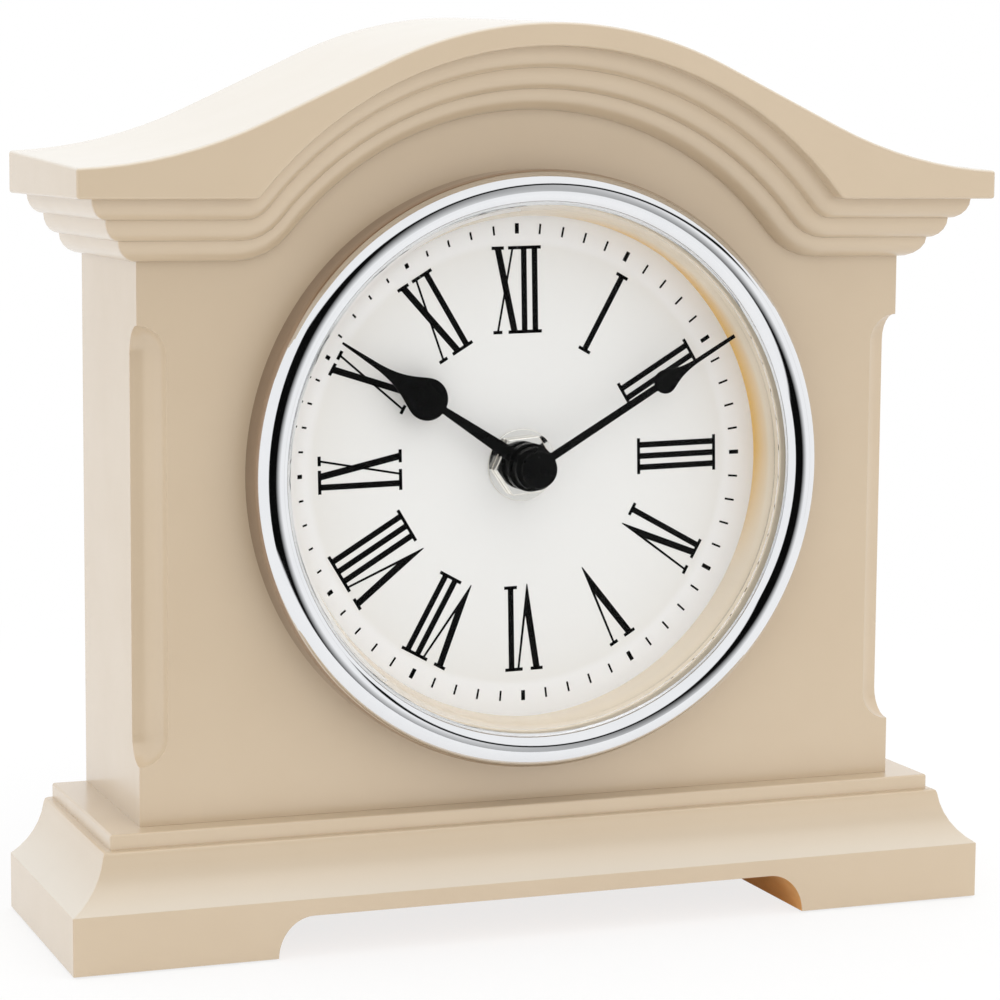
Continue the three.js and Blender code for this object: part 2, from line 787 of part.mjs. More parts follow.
// Hands
function spadeOutline({ root, shaft, blade, needle, tip, ...shares }) {
  const [length, bladeAt, needleAt] = [shares.length, shares.bladeAt, shares.needleAt].map((share) => {
    return share * handReach;
  });
  const lift = Math.asin(shaft / 2 / blade);
  const leave = THREE.MathUtils.degToRad(bladeShoulder);
  const side = new THREE.Vector2(blade * Math.cos(leave), bladeAt + blade * Math.sin(leave));
  const swell = new THREE.Vector2(-Math.sin(leave), Math.cos(leave));
  swell.multiplyScalar(bladeSwell * blade).add(side);
  const waist = new THREE.Vector2(waistWidth * needle, bladeAt + bladeWaist * blade);
  const shape = new THREE.Shape();
  shape.moveTo(root / 2, 0);
  shape.absarc(0, bladeAt, blade, lift - Math.PI / 2, leave, false);
  shape.bezierCurveTo(swell.x, swell.y, waist.x, waist.y, needle / 2, needleAt);
  shape.lineTo(tip / 2, length);
  shape.lineTo(-tip / 2, length);
  shape.lineTo(-needle / 2, needleAt);
  shape.bezierCurveTo(-waist.x, waist.y, -swell.x, swell.y, -side.x, side.y);
  shape.absarc(0, bladeAt, blade, Math.PI - leave, 1.5 * Math.PI - lift, false);
  shape.lineTo(-root / 2, 0);
  return shape;
}

function spadeHand(hand, collarRadius, collarFront, collarBack, boreRadiusHere) {
  const middle = (collarFront + collarBack - handThickness) / 2;
  const plate = extrudeAlongY(spadeOutline(hand), middle, middle + handThickness);
  const collar = rod(collarRadius, collarFront, collarBack);
  return cut(join(collar, plate), rod(boreRadiusHere, collarFront - through, collarBack + through));
}

function hubCap() {
  const edge = steps(edgeSteps).map((share) => {
    const turn = share * Math.PI / 2;
    const radius = hubCapRadius - hubCapRound * (1 - Math.sin(turn));
    return [radius, hubCapFront + hubCapRound * (1 - Math.cos(turn))];
  });
  const bore = minuteArborRadius + runGap;
  const end = hubCapBack - arborInCap - runGap;
  const socket = [[bore, hubCapBack], [bore, end], [0, end]];
  return turned([[0, hubCapFront], ...edge, [hubCapRadius, hubCapBack], ...socket], boreSteps);
}

// Centre fixing
function threadedBush() {
  const back = housingFloor + bushFlangeThickness;
  const profile = [
    [bushBore, bushFront], [bushRadius, bushFront], [bushRadius, housingFloor],
    [bushFlangeRadius, housingFloor], [bushFlangeRadius, back], [bushBore, back],
  ];
  return turnedRing(profile, boreSteps);
}

function hexNut() {
  const radius = nutAcrossFlats / 2 / Math.cos(Math.PI / 6);
  const corners = [0, 60, 120, 180, 240, 300].map((degrees) => polar(radius, degrees + nutTurn));
  const nut = extrudeAlongY(new THREE.Shape(corners), nutFront, washerFront);
  return cut(nut, rod(bushRadius + runGap, nutFront - through, washerFront + through));
}

function dialWasher() {
  return tube(washerRadius, bushRadius + runGap, washerFront, dialRecess);
}

function rubberWasher() {
  return tube(rubberRadius, bushRadius + runGap, dialBack, housingFront);
}

// Wheel train: teeth with straight flanks, slim enough to run with play
function rootRadius(teeth, module) {
  return (teeth / 2 - toothDedendum) * module;
}

function gearShape(teeth, module, phase) {
  const pitchRadius = teeth * module / 2;
  const tip = pitchRadius + toothAddendum * module;
  const root = rootRadius(teeth, module);
  const pitch = 360 / teeth;
  const [wide, slim] = [toothRootShare, toothTipShare];
  const corners = [[root, -wide], [tip, -slim], [tip, slim], [root, wide]];
  const points = [];
  for (let tooth = 0; tooth < teeth; tooth += 1) {
    corners.forEach(([radius, share]) => points.push(polar(radius, phase + (tooth + share) * pitch)));
  }
  return new THREE.Shape(points);
}

// A wheel shows a tooth to its partner, and the partner a gap to the wheel
function wheelFacing(teeth, module, direction, yFront) {
  return extrudeAlongY(gearShape(teeth, module, direction), yFront, yFront + gearThickness);
}

function pinionFacing(teeth, module, direction, yFront) {
  const phase = direction + 180 + 180 / teeth;
  return extrudeAlongY(gearShape(teeth, module, phase), yFront, yFront + gearThickness);
}

function centreWheel() {
  const neck = rootRadius(cannonTeeth, gearModule);
  const front = hubCapBack - arborInCap;
  return join(
    rod(minuteArborRadius, front, cannonFront + gearThickness / 2),
    wheelFacing(cannonTeeth, gearModule, motionDirection, cannonFront),
    rod(neck, cannonFront + gearThickness / 2, centreFront + gearThickness / 2),
    wheelFacing(centreTeeth, gearModule, thirdDirection, centreFront),
    rod(arborRadius, centreFront + gearThickness / 2, bridgeBack, pinSteps),
  );
}

function hourWheel() {
  const wheel = pinionFacing(hourTeeth, hourModule, motionDirection + 180, hourWheelFront);
  const pipe = rod(pipeRadius, pipeFront, hourWheelFront + gearThickness / 2);
  return cut(join(wheel, pipe), rod(pipeBore, pipeFront - through, hourWheelBack + through));
}

function motionWheel() {
  const wheel = pinionFacing(motionTeeth, gearModule, motionDirection, cannonFront);
  const pinion = wheelFacing(motionPinionTeeth, hourModule, motionDirection + 180, hourWheelFront);
  const neck = rootRadius(motionPinionTeeth, hourModule);
  const hub = rod(neck, hourWheelFront + gearThickness / 2, cannonFront + gearThickness / 2);
  const bore = rod(studRadius + runGap, hourWheelFront - through, cannonBack + through, pinSteps);
  return cut(join(wheel, hub, pinion), bore);
}

function thirdWheel() {
  const pinion = pinionFacing(trainPinionTeeth, gearModule, thirdDirection, centreFront);
  const wheel = wheelFacing(thirdTeeth, gearModule, rotorDirection, thirdFront);
  return join(
    rod(arborRadius, housingFloor + bossHeight + runGap, bridgeFront - runGap, pinSteps),
    rod(pivotRadius, housingFloor + runGap, bridgeBack, pinSteps),
    pinion,
    wheel,
  );
}

function rotor() {
  const magnetFront = statorDepth + statorThickness / 2 - magnetDepth / 2;
  return join(
    rod(magnetRadius, magnetFront, magnetFront + magnetDepth),
    rod(arborRadius, housingFloor + bossHeight + runGap, bridgeFront - runGap, pinSteps),
    rod(pivotRadius, housingFloor + runGap, bridgeBack, pinSteps),
    pinionFacing(trainPinionTeeth, gearModule, rotorDirection, thirdFront),
  );
}

function stator() {
  const [left, right] = [rotorPlace.x - statorRim, rotorPlace.x + statorRim];
  const plate = rectangle(left, right, coilHigh, rotorPlace.y + statorRim);
  const poleGap = new THREE.Path();
  poleGap.absarc(rotorPlace.x, rotorPlace.y, magnetRadius + layerGap, 0, 2 * Math.PI, true);
  plate.holes.push(poleGap);
  const core = [coilPlace - arborRadius, coilPlace + arborRadius];
  const coreFoot = coilHigh - coilLength - fitGap;
  const yoke = block(...core, statorDepth, statorDepth + statorThickness, coreFoot, coilHigh + through);
  return join(extrudeAlongY(plate, statorDepth, statorDepth + statorThickness), yoke);
}

function driveCoil() {
  const half = coilLength / 2 - fitGap;
  const geometry = tube(coilRadius, coilBore, -half, half);
  geometry.rotateX(Math.PI / 2);
  geometry.translate(coilPlace, statorDepth + statorThickness / 2, coilHigh - coilLength / 2);
  return geometry;
}

// Movement housing
function bridgePosts() {
  const low = bridgeFoot + postRadius;
  const high = bridgeHead - postRadius;
  const wide = bridgeHalf - postRadius;
  const places = [[-wide / 2, low], [wide / 2, low], [-wide, high], [wide, high]];
  return places.map(([x, z]) => new THREE.Vector2(x, z));
}

function movementHousing() {
  const [left, right] = [-movementHalf, movementHalf];
  const shell = block(left, right, housingFront, housingBack, -movementBelow, movementAbove);
  const back = housingBack + through;
  const room = block(-insideHalf, insideHalf, housingFloor, back, bayTop + bayWall, insideTop);
  const bay = block(-insideHalf, insideHalf, housingFloor, back, insideBottom, bayTop);
  const hole = rod(bushRadius + runGap, housingFront - through, housingFloor + through);
  const sunk = housingFloor - fitGap;
  const bosses = [thirdPlace, rotorPlace].map((place) => {
    return tube(bossRadius, pivotRadius + runGap, sunk, housingFloor + bossHeight, pinSteps, place);
  });
  const posts = bridgePosts().map((place) => rod(postRadius, sunk, bridgeFront, pinSteps, place));
  const stud = rod(studRadius, sunk, cannonBack, pinSteps, motionPlace);
  return join(cut(shell, room, bay, hole), ...bosses, ...posts, stud);
}

function buttonPlaces() {
  return buttonNames.map((_, k) => new THREE.Vector2(buttonColumn, buttonMiddle + (k - 1) * buttonSpacing));
}

function movementCover() {
  const half = insideHalf - fitGap;
  const plate = rectangle(-half, half, bayTop + bayWall + fitGap, insideTop - fitGap);
  buttonPlaces().forEach((place) => {
    const hole = new THREE.Path();
    hole.absarc(place.x, place.y, buttonRadius + runGap, 0, 2 * Math.PI, true);
    plate.holes.push(hole);
  });
  return extrudeAlongY(plate, coverFront, housingBack);
}

function trainBridge() {
  const plate = rectangle(-bridgeHalf, bridgeHalf, bridgeFoot, bridgeHead);
  const pivots = [[new THREE.Vector2(), arborRadius], [thirdPlace, pivotRadius], [rotorPlace, pivotRadius]];
  pivots.forEach(([place, radius]) => {
    const hole = new THREE.Path();
    hole.absarc(place.x, place.y, radius + runGap, 0, 2 * Math.PI, true);
    plate.holes.push(hole);
  });
  return extrudeAlongY(plate, bridgeFront, bridgeBack);
}

// Buttons stand under the cover by their flanges, over switches on the board
function pushButton(place) {
  const flangeBack = coverFront - runGap;
  const profile = [
    [0, flangeBack - buttonFlange], [buttonRadius + layerGap, flangeBack - buttonFlange],
    [buttonRadius + layerGap, flangeBack], [buttonRadius, flangeBack],
    [buttonRadius, housingBack + buttonProud], [0, housingBack + buttonProud],
  ];
  return turned(profile, pinSteps).translate(place.x, 0, place.y);
}

function circuitBoard() {
  const [right, head] = [boardLeft + boardWidth, boardFoot + boardHeight];
  const board = block(boardLeft, right, bridgeBack, boardBack, boardFoot, head);
  const switchBack = coverFront - runGap - buttonFlange - buttonTravel - fitGap;
  const switches = buttonPlaces().map((place) => {
    const body = block(-buttonRadius, buttonRadius, bridgeBack, switchBack, -buttonRadius, buttonRadius);
    return body.translate(place.x, 0, place.y);
  });
  return join(board, ...switches);
}

function driverChip() {
  const x = boardLeft + boardWidth - chipSize;
  return block(x - chipSize / 2, x + chipSize / 2, boardBack, boardBack + chipHeight, 0, chipSize);
}

function quartzCrystal() {
  const geometry = new THREE.CylinderGeometry(crystalRadius, crystalRadius, crystalLength, pinSteps);
  geometry.rotateZ(Math.PI / 2);
  const x = boardLeft + boardWidth - chipSize;
  return geometry.translate(x, boardBack + crystalRadius + runGap, -chipSize);
}

function alongX(geometry) {
  return geometry.rotateZ(-Math.PI / 2);
}

function antennaRod() {
  const geometry = alongX(rod(antennaRadius, -antennaLength / 2, antennaLength / 2, pinSteps));
  return geometry.translate(0, antennaDepth, antennaHeight);
}

function antennaCoil() {
  const half = antennaCoilLength / 2;
  const geometry = alongX(tube(antennaCoilRadius, antennaRadius + fitGap, -half, half));
  return geometry.translate(0, antennaDepth, antennaHeight);
}

function battery() {
  const half = batteryLength / 2;
  const shoulder = half - terminalLength;
  const profile = [
    [0, -half], [batteryRadius, -half], [batteryRadius, shoulder],
    [terminalRadius, shoulder], [terminalRadius, half], [0, half],
  ];
  return alongX(turned(profile, boreSteps)).translate(0, batteryDepth, batteryHeight);
}

// Bent strip contacts: an upright against the cell and a foot along the floor to the end wall
function batteryContact(side) {
  const cell = batteryLength / 2 + fitGap;
  const wall = insideHalf - fitGap;
  const top = batteryDepth + contactWidth / 2;
  const foot = housingFloor + fitGap;
  const section = [
    [cell, top], [cell, foot], [wall, foot], [wall, foot + contactThickness],
    [cell + contactThickness, foot + contactThickness], [cell + contactThickness, top],
  ];
  const shape = new THREE.Shape(section.map(([x, y]) => new THREE.Vector2(side * x, y)));
  return extrudeUp(shape, batteryHeight - contactWidth / 2, batteryHeight + contactWidth / 2);
}

// Assembly: one named mesh for each piece
function piece(parent, name, geometry, finish, place = new THREE.Vector2()) {
  const mesh = new THREE.Mesh(closedBody(geometry), finish);
  mesh.name = name;
  mesh.position.set(place.x, 0, place.y);
  parent.add(mesh);
  return mesh;
}

const clock = new THREE.Group();
const caseGroup = new THREE.Group();
const dialGroup = new THREE.Group();
clock.add(caseGroup, dialGroup);
clock.position.y = (roofOverhang - bodyDepth) / 2;
dialGroup.position.z = dialHeight;

padPlaces().forEach(([x, y], k) => {
  piece(caseGroup, `foot_pad_${k + 1}`, footPad(), softRubber()).position.set(x, y, 0);
});
piece(caseGroup, 'base_slab', baseSlab(), satinPaint());
piece(caseGroup, 'base_cove', baseCove(), satinPaint());
piece(caseGroup, 'plinth_cap', plinthCap(), satinPaint());
piece(caseGroup, 'front_board', frontBoard(), satinPaint());
piece(caseGroup, 'side_board_left', sideBoard(-1), satinPaint());
piece(caseGroup, 'side_board_right', sideBoard(1), satinPaint());

const ovolos = [
  ['lower', lowerOvoloProjection],
  ['middle', middleOvoloProjection],
  ['upper', upperOvoloProjection],
];
let projected = 0;
ovolos.forEach(([name, projection], k) => {
  piece(caseGroup, `cornice_${name}`, ovoloMoulding(k * ovoloHeight, projected, projection), satinPaint());
  projected += projection;
});
piece(caseGroup, 'roof_cap', roofCap(), satinPaint());
piece(caseGroup, 'back_panel', backPanel(), bareHardboard());
screwPlaces().forEach((place, k) => {
  piece(caseGroup, `back_screw_${k + 1}`, backScrew(), steel(), place);
});

piece(dialGroup, 'bezel_ring', bezelRing(), chromePlate());
piece(dialGroup, 'glass', glassDisc(), clearGlass());
piece(dialGroup, 'dial_well', dialWell(), satinPaint());
piece(dialGroup, 'dial_plate', dialPlate(), printedCard());

const hourFit = [hourCollarRadius, hourCollarFront, hourCollarBack, pipeRadius + runGap];
const minuteFit = [minuteCollarRadius, minuteCollarFront, minuteCollarBack, minuteArborRadius + runGap];
const hourMesh = piece(dialGroup, 'hour_hand', spadeHand(hourHand, ...hourFit), blackEnamel());
const minuteMesh = piece(dialGroup, 'minute_hand', spadeHand(minuteHand, ...minuteFit), blackEnamel());
hourMesh.rotation.y = THREE.MathUtils.degToRad(hourAngle);
minuteMesh.rotation.y = THREE.MathUtils.degToRad(minuteAngle);
piece(dialGroup, 'hub_cap', hubCap(), blackEnamel());

piece(dialGroup, 'hex_nut', hexNut(), nickelPlate());
piece(dialGroup, 'dial_washer', dialWasher(), nickelPlate());
piece(dialGroup, 'rubber_washer', rubberWasher(), softRubber());
piece(dialGroup, 'threaded_bush', threadedBush(), brass());

piece(dialGroup, 'movement_housing', movementHousing(), blackPlastic());
piece(dialGroup, 'movement_cover', movementCover(), blackPlastic());
piece(dialGroup, 'train_bridge', trainBridge(), whitePlastic());
piece(dialGroup, 'centre_wheel', centreWheel(), brass());
piece(dialGroup, 'hour_wheel', hourWheel(), whitePlastic());
piece(dialGroup, 'motion_wheel', motionWheel(), whitePlastic(), motionPlace);
piece(dialGroup, 'third_wheel', thirdWheel(), whitePlastic(), thirdPlace);
piece(dialGroup, 'rotor', rotor(), ferrite(), rotorPlace);
piece(dialGroup, 'stator', stator(), steel());
piece(dialGroup, 'drive_coil', driveCoil(), copperWire());

piece(dialGroup, 'circuit_board', circuitBoard(), greenLaminate());
piece(dialGroup, 'driver_chip', driverChip(), blackPlastic());
piece(dialGroup, 'quartz_crystal', quartzCrystal(), nickelPlate());
piece(dialGroup, 'antenna_rod', antennaRod(), ferrite());
piece(dialGroup, 'antenna_coil', antennaCoil(), copperWire());
piece(dialGroup, 'battery', battery(), batteryJacket());
piece(dialGroup, 'contact_positive', batteryContact(1), nickelPlate());
piece(dialGroup, 'contact_negative', batteryContact(-1), nickelPlate());
buttonPlaces().forEach((place, k) => piece(dialGroup, buttonNames[k], pushButton(place), whitePlastic()));

export default clock;
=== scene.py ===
# %% [markdown]
# A small mantel clock, painted cream, with a chrome bezel, a white Roman dial and black spade hands.
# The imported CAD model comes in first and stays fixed: every new piece is placed from its sizes.
# Lengths are written in millimetres and turned to metres by MM, because the frame is in metres.

# %% Load the frame
import json
import math

import bmesh
import bpy
from mathutils import Matrix, Vector


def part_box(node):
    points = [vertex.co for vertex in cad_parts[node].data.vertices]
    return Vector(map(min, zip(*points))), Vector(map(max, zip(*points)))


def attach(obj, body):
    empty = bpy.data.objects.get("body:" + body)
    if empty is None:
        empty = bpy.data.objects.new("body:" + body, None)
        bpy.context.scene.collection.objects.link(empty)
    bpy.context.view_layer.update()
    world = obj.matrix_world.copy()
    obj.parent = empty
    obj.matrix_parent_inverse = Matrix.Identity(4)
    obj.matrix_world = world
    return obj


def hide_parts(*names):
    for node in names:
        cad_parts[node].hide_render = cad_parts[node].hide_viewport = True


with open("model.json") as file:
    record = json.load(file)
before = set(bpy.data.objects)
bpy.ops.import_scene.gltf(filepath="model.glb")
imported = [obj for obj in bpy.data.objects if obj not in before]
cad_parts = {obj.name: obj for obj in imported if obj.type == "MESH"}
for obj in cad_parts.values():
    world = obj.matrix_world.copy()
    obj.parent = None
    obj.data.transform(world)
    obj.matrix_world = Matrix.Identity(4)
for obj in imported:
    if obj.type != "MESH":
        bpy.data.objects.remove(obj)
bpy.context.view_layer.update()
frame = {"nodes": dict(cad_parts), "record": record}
MM = 0.001

# %% [markdown]
# Three places are used all over the clock: the front face of the case body, the height of the dial's axis
# and the face of the dial. They are read from the frame, so that a new pack moves every piece with it.
# Points closer together than WELD, in metres, are taken as one.

# %% Where the dial sits
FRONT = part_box("front_board")[0].y
dial_low, dial_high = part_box("dial_plate")
AXIS = (dial_low.z + dial_high.z) / 2
DIAL_FACE = dial_low.y
WELD = 2e-6
print("dial axis", round(AXIS / MM, 2), "mm above the table")
print("dial face", round((DIAL_FACE - FRONT) / MM, 2), "mm behind the front")

# %% [markdown]
# Colours are written as they look on a screen, in sRGB hex, and a shader works in linear light.
# One function turns the one into the other, and one adds a node with its settings and links. A socket
# is given by its name, or by its number where names repeat: a Mix node has its share at 0 and its two
# colours at 6 and 7, a Map Range node its marks at 1 and 2 and what they become at 3 and 4.

# %% Colours and nodes
def linear(code):
    channels = [int(code[i:i + 2], 16) / 255 for i in (1, 3, 5)]
    return *(c / 12.92 if c <= 0.04045 else ((c + 0.055) / 1.055) ** 2.4 for c in channels), 1.0


def add(tree, kind, sockets=None, **attributes):
    node = tree.nodes.new(kind)
    for name, value in attributes.items():
        setattr(node, name, value)
    for name, value in (sockets or {}).items():
        if isinstance(value, bpy.types.NodeSocket):
            tree.links.new(value, node.inputs[name])
        else:
            node.inputs[name].default_value = value
    return node


def start_finish(name, sockets=None):
    finish = bpy.data.materials.new(name)
    finish.use_nodes = True
    tree = finish.node_tree
    tree.nodes.clear()
    place = add(tree, "ShaderNodeTexCoord").outputs["Object"]
    shader = add(tree, "ShaderNodeBsdfPrincipled", sockets)
    add(tree, "ShaderNodeOutputMaterial", {"Surface": shader.outputs[0]})
    return finish, tree, place, shader


print("middle grey in linear light:", [round(c, 3) for c in linear("#808080")])

# %% [markdown]
# Most finishes of the clock are even at first sight, and show on a close look that colour and gloss
# drift over patches and that the skin has a fine relief. A noise for the patches and a second, finer
# one for the relief give both. Sizes are real ones in millimetres: a noise of scale s repeats every 1/s.
# The rubber of the feet is the plainest of them, dull and nearly even, so it comes first.

# %% A finish with patches and grain
PATCH_DETAIL, GRAIN_DETAIL = 3.0, 2.0
DRIFT_LOW, DRIFT_HIGH = 0.3, 0.7


def mottled(name, pale, dark, patch, gloss, grain, relief, sockets=None):
    finish, tree, place, shader = start_finish(name, sockets)
    patches = {"Vector": place, "Scale": 1 / (patch * MM), "Detail": PATCH_DETAIL}
    drift = add(tree, "ShaderNodeTexNoise", patches).outputs[0]
    colour = add(tree, "ShaderNodeMix", {0: drift, 6: linear(pale), 7: linear(dark)}, data_type="RGBA")
    spread = {"Value": drift, 1: DRIFT_LOW, 2: DRIFT_HIGH, 3: gloss[0], 4: gloss[1]}
    rough = add(tree, "ShaderNodeMapRange", spread)
    grains = {"Vector": place, "Scale": 1 / (grain * MM), "Detail": GRAIN_DETAIL}
    skin = add(tree, "ShaderNodeTexNoise", grains).outputs[0]
    bump = add(tree, "ShaderNodeBump", {"Height": skin, "Distance": relief * MM, "Strength": 1.0})
    tree.links.new(colour.outputs[2], shader.inputs["Base Color"])
    tree.links.new(rough.outputs[0], shader.inputs["Roughness"])
    tree.links.new(bump.outputs[0], shader.inputs["Normal"])
    return finish


soft_rubber = mottled("moulded_rubber", "#242424", "#2E2D2C",
                      patch=2, gloss=(0.75, 0.9), grain=0.3, relief=0.03)
print("first finish:", soft_rubber.name)

# %% [markdown]
# The case is fibreboard, sprayed with a satin cream lacquer. A sprayed coat keeps a faint orange peel,
# about a millimetre from hump to hump, and its clear top layer lifts the faces that are seen at a low
# angle nearly to white. The shader's own coat gives that lift, and gives it from every side; a paler
# colour on those faces would be right from one side only.

# %% Satin lacquer on fibreboard
CREAM = ("#D0BCA0", "#CBB699")
TOP_COAT = {"IOR": 1.5, "Coat Weight": 1.0, "Coat Roughness": 0.22, "Coat IOR": 1.6}
SPRAYED = {"patch": 18, "gloss": (0.38, 0.46), "grain": 1.1, "relief": 0.011, "sockets": TOP_COAT}
satin_lacquer = mottled("satin_lacquer_on_fibreboard", *CREAM, **SPRAYED)
print("case finish:", satin_lacquer.name)

# %% [markdown]
# On the roof and the base, faces that look up are painted paler and less yellow: painted light, standing
# in for the light from above on those faces. The narrow ledge under the plinth step lies in shade and gets
# none of it. The normal tells how far a face looks up, so the painted light fades in over curved faces,
# and no face has to be picked by hand.

# %% Painted top light on the roof and the base
PAINTED_TOP_LIGHT, TOP_LIGHT_START, TOP_LIGHT_FULL = "#D8CFC0", 0.15, 0.9
LEDGE_HEIGHT, LEDGE_NEAR, LEDGE_FAR = 24, 1.6, 2.6
lacquer_with_painted_top_light = mottled("satin_lacquer_with_painted_top_light", *CREAM, **SPRAYED)
tree = lacquer_with_painted_top_light.node_tree
lacquer = tree.nodes["Principled BSDF"].inputs["Base Color"]
rise = add(tree, "ShaderNodeSeparateXYZ", {0: add(tree, "ShaderNodeNewGeometry").outputs["Normal"]})
top_light = add(tree, "ShaderNodeMapRange", {"Value": rise.outputs["Z"], 1: TOP_LIGHT_START, 2: TOP_LIGHT_FULL})
level = add(tree, "ShaderNodeSeparateXYZ", {0: tree.nodes["Texture Coordinate"].outputs["Object"]})
above = add(tree, "ShaderNodeMath", {0: level.outputs["Z"], 1: LEDGE_HEIGHT * MM}, operation="SUBTRACT")
apart = add(tree, "ShaderNodeMath", {0: above.outputs[0]}, operation="ABSOLUTE")
ledge = {"Value": apart.outputs[0], 1: LEDGE_NEAR * MM, 2: LEDGE_FAR * MM}
off_ledge = add(tree, "ShaderNodeMapRange", ledge)
# Faces that look up, away from the shaded ledge, get the painted top light.
top_light_share = add(tree, "ShaderNodeMath", {0: top_light.outputs[0], 1: off_ledge.outputs[0]}, operation="MULTIPLY")
coats = {0: top_light_share.outputs[0], 6: lacquer.links[0].from_socket, 7: linear(PAINTED_TOP_LIGHT)}
lit_tops = add(tree, "ShaderNodeMix", coats, data_type="RGBA")
tree.links.new(lit_tops.outputs[2], lacquer)
# The printed overspray is painted light on faces that look up.
print("overspray on faces that look up:", lacquer_with_painted_top_light.name)

# %% [markdown]
# The wall of the dial well is the case's cream painted paler, painted light for the deep well that gets
# less light, and a golden band towards the dial at the upper right is painted shade of that crevice.
# Inside the foot cut an orange tan is painted shade of the hollow under the base. A colour is laid over
# the first one
# where a product of masks says so: each mask rises from 0 to 1 along one axis, and all of them have to be
# high.

# %% Painted light and shade in the well and the foot cut
# The well's paler cream is painted light, and its gold is painted shade.
WELL_LIT_CREAM, GOLD_PAINTED_SHADE = ("#EFE1CB", "#E9D9C1"), "#EEBC54"
GOLD_SHADE_PLACE = [("Y", FRONT - 0.5 * MM, FRONT + 6 * MM), ("X", 2 * MM, 22 * MM),
              ("Z", AXIS - 24 * MM, AXIS + 2 * MM)]


def lay_over(finish, masks, code):
    tree = finish.node_tree
    axes = add(tree, "ShaderNodeSeparateXYZ", {0: tree.nodes["Texture Coordinate"].outputs["Object"]})
    cover = 1.0
    for axis, start, full in masks:
        mask = add(tree, "ShaderNodeMapRange", {"Value": axes.outputs[axis], 1: start, 2: full})
        both = add(tree, "ShaderNodeMath", {0: cover, 1: mask.outputs[0]}, operation="MULTIPLY")
        cover = both.outputs[0]
    base = tree.nodes["Principled BSDF"].inputs["Base Color"]
    coats = {0: cover, 6: base.links[0].from_socket, 7: linear(code)}
    tree.links.new(add(tree, "ShaderNodeMix", coats, data_type="RGBA").outputs[2], base)


well_lacquer_painted_light = mottled("well_lacquer_with_painted_gold_shade", *WELL_LIT_CREAM, **SPRAYED)
lay_over(well_lacquer_painted_light, GOLD_SHADE_PLACE, GOLD_PAINTED_SHADE)
# The orange tan of the foot cut is painted shade of the hollow under the base.
foot_cut_painted_shade = mottled("painted_shade_in_foot_cut", "#EDB87A", "#E2A968", patch=6, gloss=(0.85, 0.95), grain=0.5,
                     relief=0.03, sockets={"Specular IOR Level": 0.2})
print("well and foot cut:", well_lacquer_painted_light.name, foot_cut_painted_shade.name)

# %% [markdown]
# The bezel is steel with a polished chrome plate: a mirror, a touch cool in colour, with a slight haze
# where it was wiped. Its outer wall is given a darker, warmer grey: a painted reflection of the shaded
# board beside it. The small hardware is nickel, warmer and less even, zinc-plated steel and turned brass.
# All are bare metal, so only colour and roughness tell them apart.

# %% Plated and turned metals
METAL = {"Metallic": 1.0}
chrome_plate = mottled("polished_chrome_plate", "#EDEEF0", "#E6E8EB",
                       patch=9, gloss=(0.03, 0.07), grain=2.5, relief=0.0004, sockets=METAL)
bezel_wall_painted_reflection = mottled("chrome_with_painted_wall_reflection", "#BEB0A6", "#B4A69C",
                     patch=9, gloss=(0.05, 0.1), grain=2.5, relief=0.0004, sockets=METAL)
nickel_plate = mottled("bright_nickel_plate", "#F2F0EC", "#EAE7E2",
                       patch=3, gloss=(0.05, 0.1), grain=0.6, relief=0.0008, sockets=METAL)
turned_brass = mottled("turned_brass", "#CDA75C", "#B98F45",
                       patch=2, gloss=(0.18, 0.3), grain=0.5, relief=0.003, sockets=METAL)
zinc_steel = mottled("zinc_plated_steel", "#B9BCBE", "#A9ACAF",
                     patch=2, gloss=(0.25, 0.4), grain=0.4, relief=0.003, sockets=METAL)
print("metals:", [m.name for m in (chrome_plate, bezel_wall_painted_reflection, nickel_plate, turned_brass, zinc_steel)])

# %% [markdown]
# Hands, hub cap and printed marks are black. The hands are stamped brass under a satin enamel that
# catches a thin line of light at each edge; the print is a dead flat ink. Behind the glass both throw
# back very little light, so their mirror share is low.

# %% Enamel and ink
FAINT_SHINE = {"Specular IOR Level": 0.03}
black_enamel = mottled("black_enamel_on_brass", "#010101", "#030303",
                       patch=4, gloss=(0.22, 0.3), grain=0.5, relief=0.002, sockets=FAINT_SHINE)
dial_ink = mottled("screen_printed_ink", "#030303", "#070706",
                   patch=1.5, gloss=(0.55, 0.7), grain=0.3, relief=0.001, sockets=FAINT_SHINE)
print("blacks:", black_enamel.name, dial_ink.name)

# %% [markdown]
# The dial is card with a white lacquer. Its minute ring is a shade whiter than the middle, so
# the colour follows the distance from the dial axis, which a Mapping node centres on.

# %% White lacquered dial card
RING_START, RING_END = 44.6, 46.0
CARD, RING = "#EFEEEC", "#F6F6F7"
SPECK, SPECK_RELIEF, DULL_LOW, DULL_HIGH = 0.8, 0.002, 0.48, 0.6
dial_card, tree, place, shader = start_finish("white_lacquered_card", {"IOR": 1.45})
to_axis = {"Vector": place, "Location": (0, 0, -AXIS), "Scale": (1, 0, 1)}
centred = add(tree, "ShaderNodeMapping", to_axis)
reach = add(tree, "ShaderNodeVectorMath", {0: centred.outputs[0]}, operation="LENGTH")
ring = add(tree, "ShaderNodeMapRange", {"Value": reach.outputs[1], 1: RING_START * MM, 2: RING_END * MM})
whites = {0: ring.outputs[0], 6: linear(CARD), 7: linear(RING)}
tint = add(tree, "ShaderNodeMix", whites, data_type="RGBA")
specks = {"Vector": place, "Scale": 1 / (SPECK * MM), "Detail": GRAIN_DETAIL}
speck = add(tree, "ShaderNodeTexNoise", specks).outputs[0]
sheen = add(tree, "ShaderNodeMapRange", {"Value": speck, 3: DULL_LOW, 4: DULL_HIGH})
tooth = add(tree, "ShaderNodeBump", {"Height": speck, "Distance": SPECK_RELIEF * MM, "Strength": 1.0})
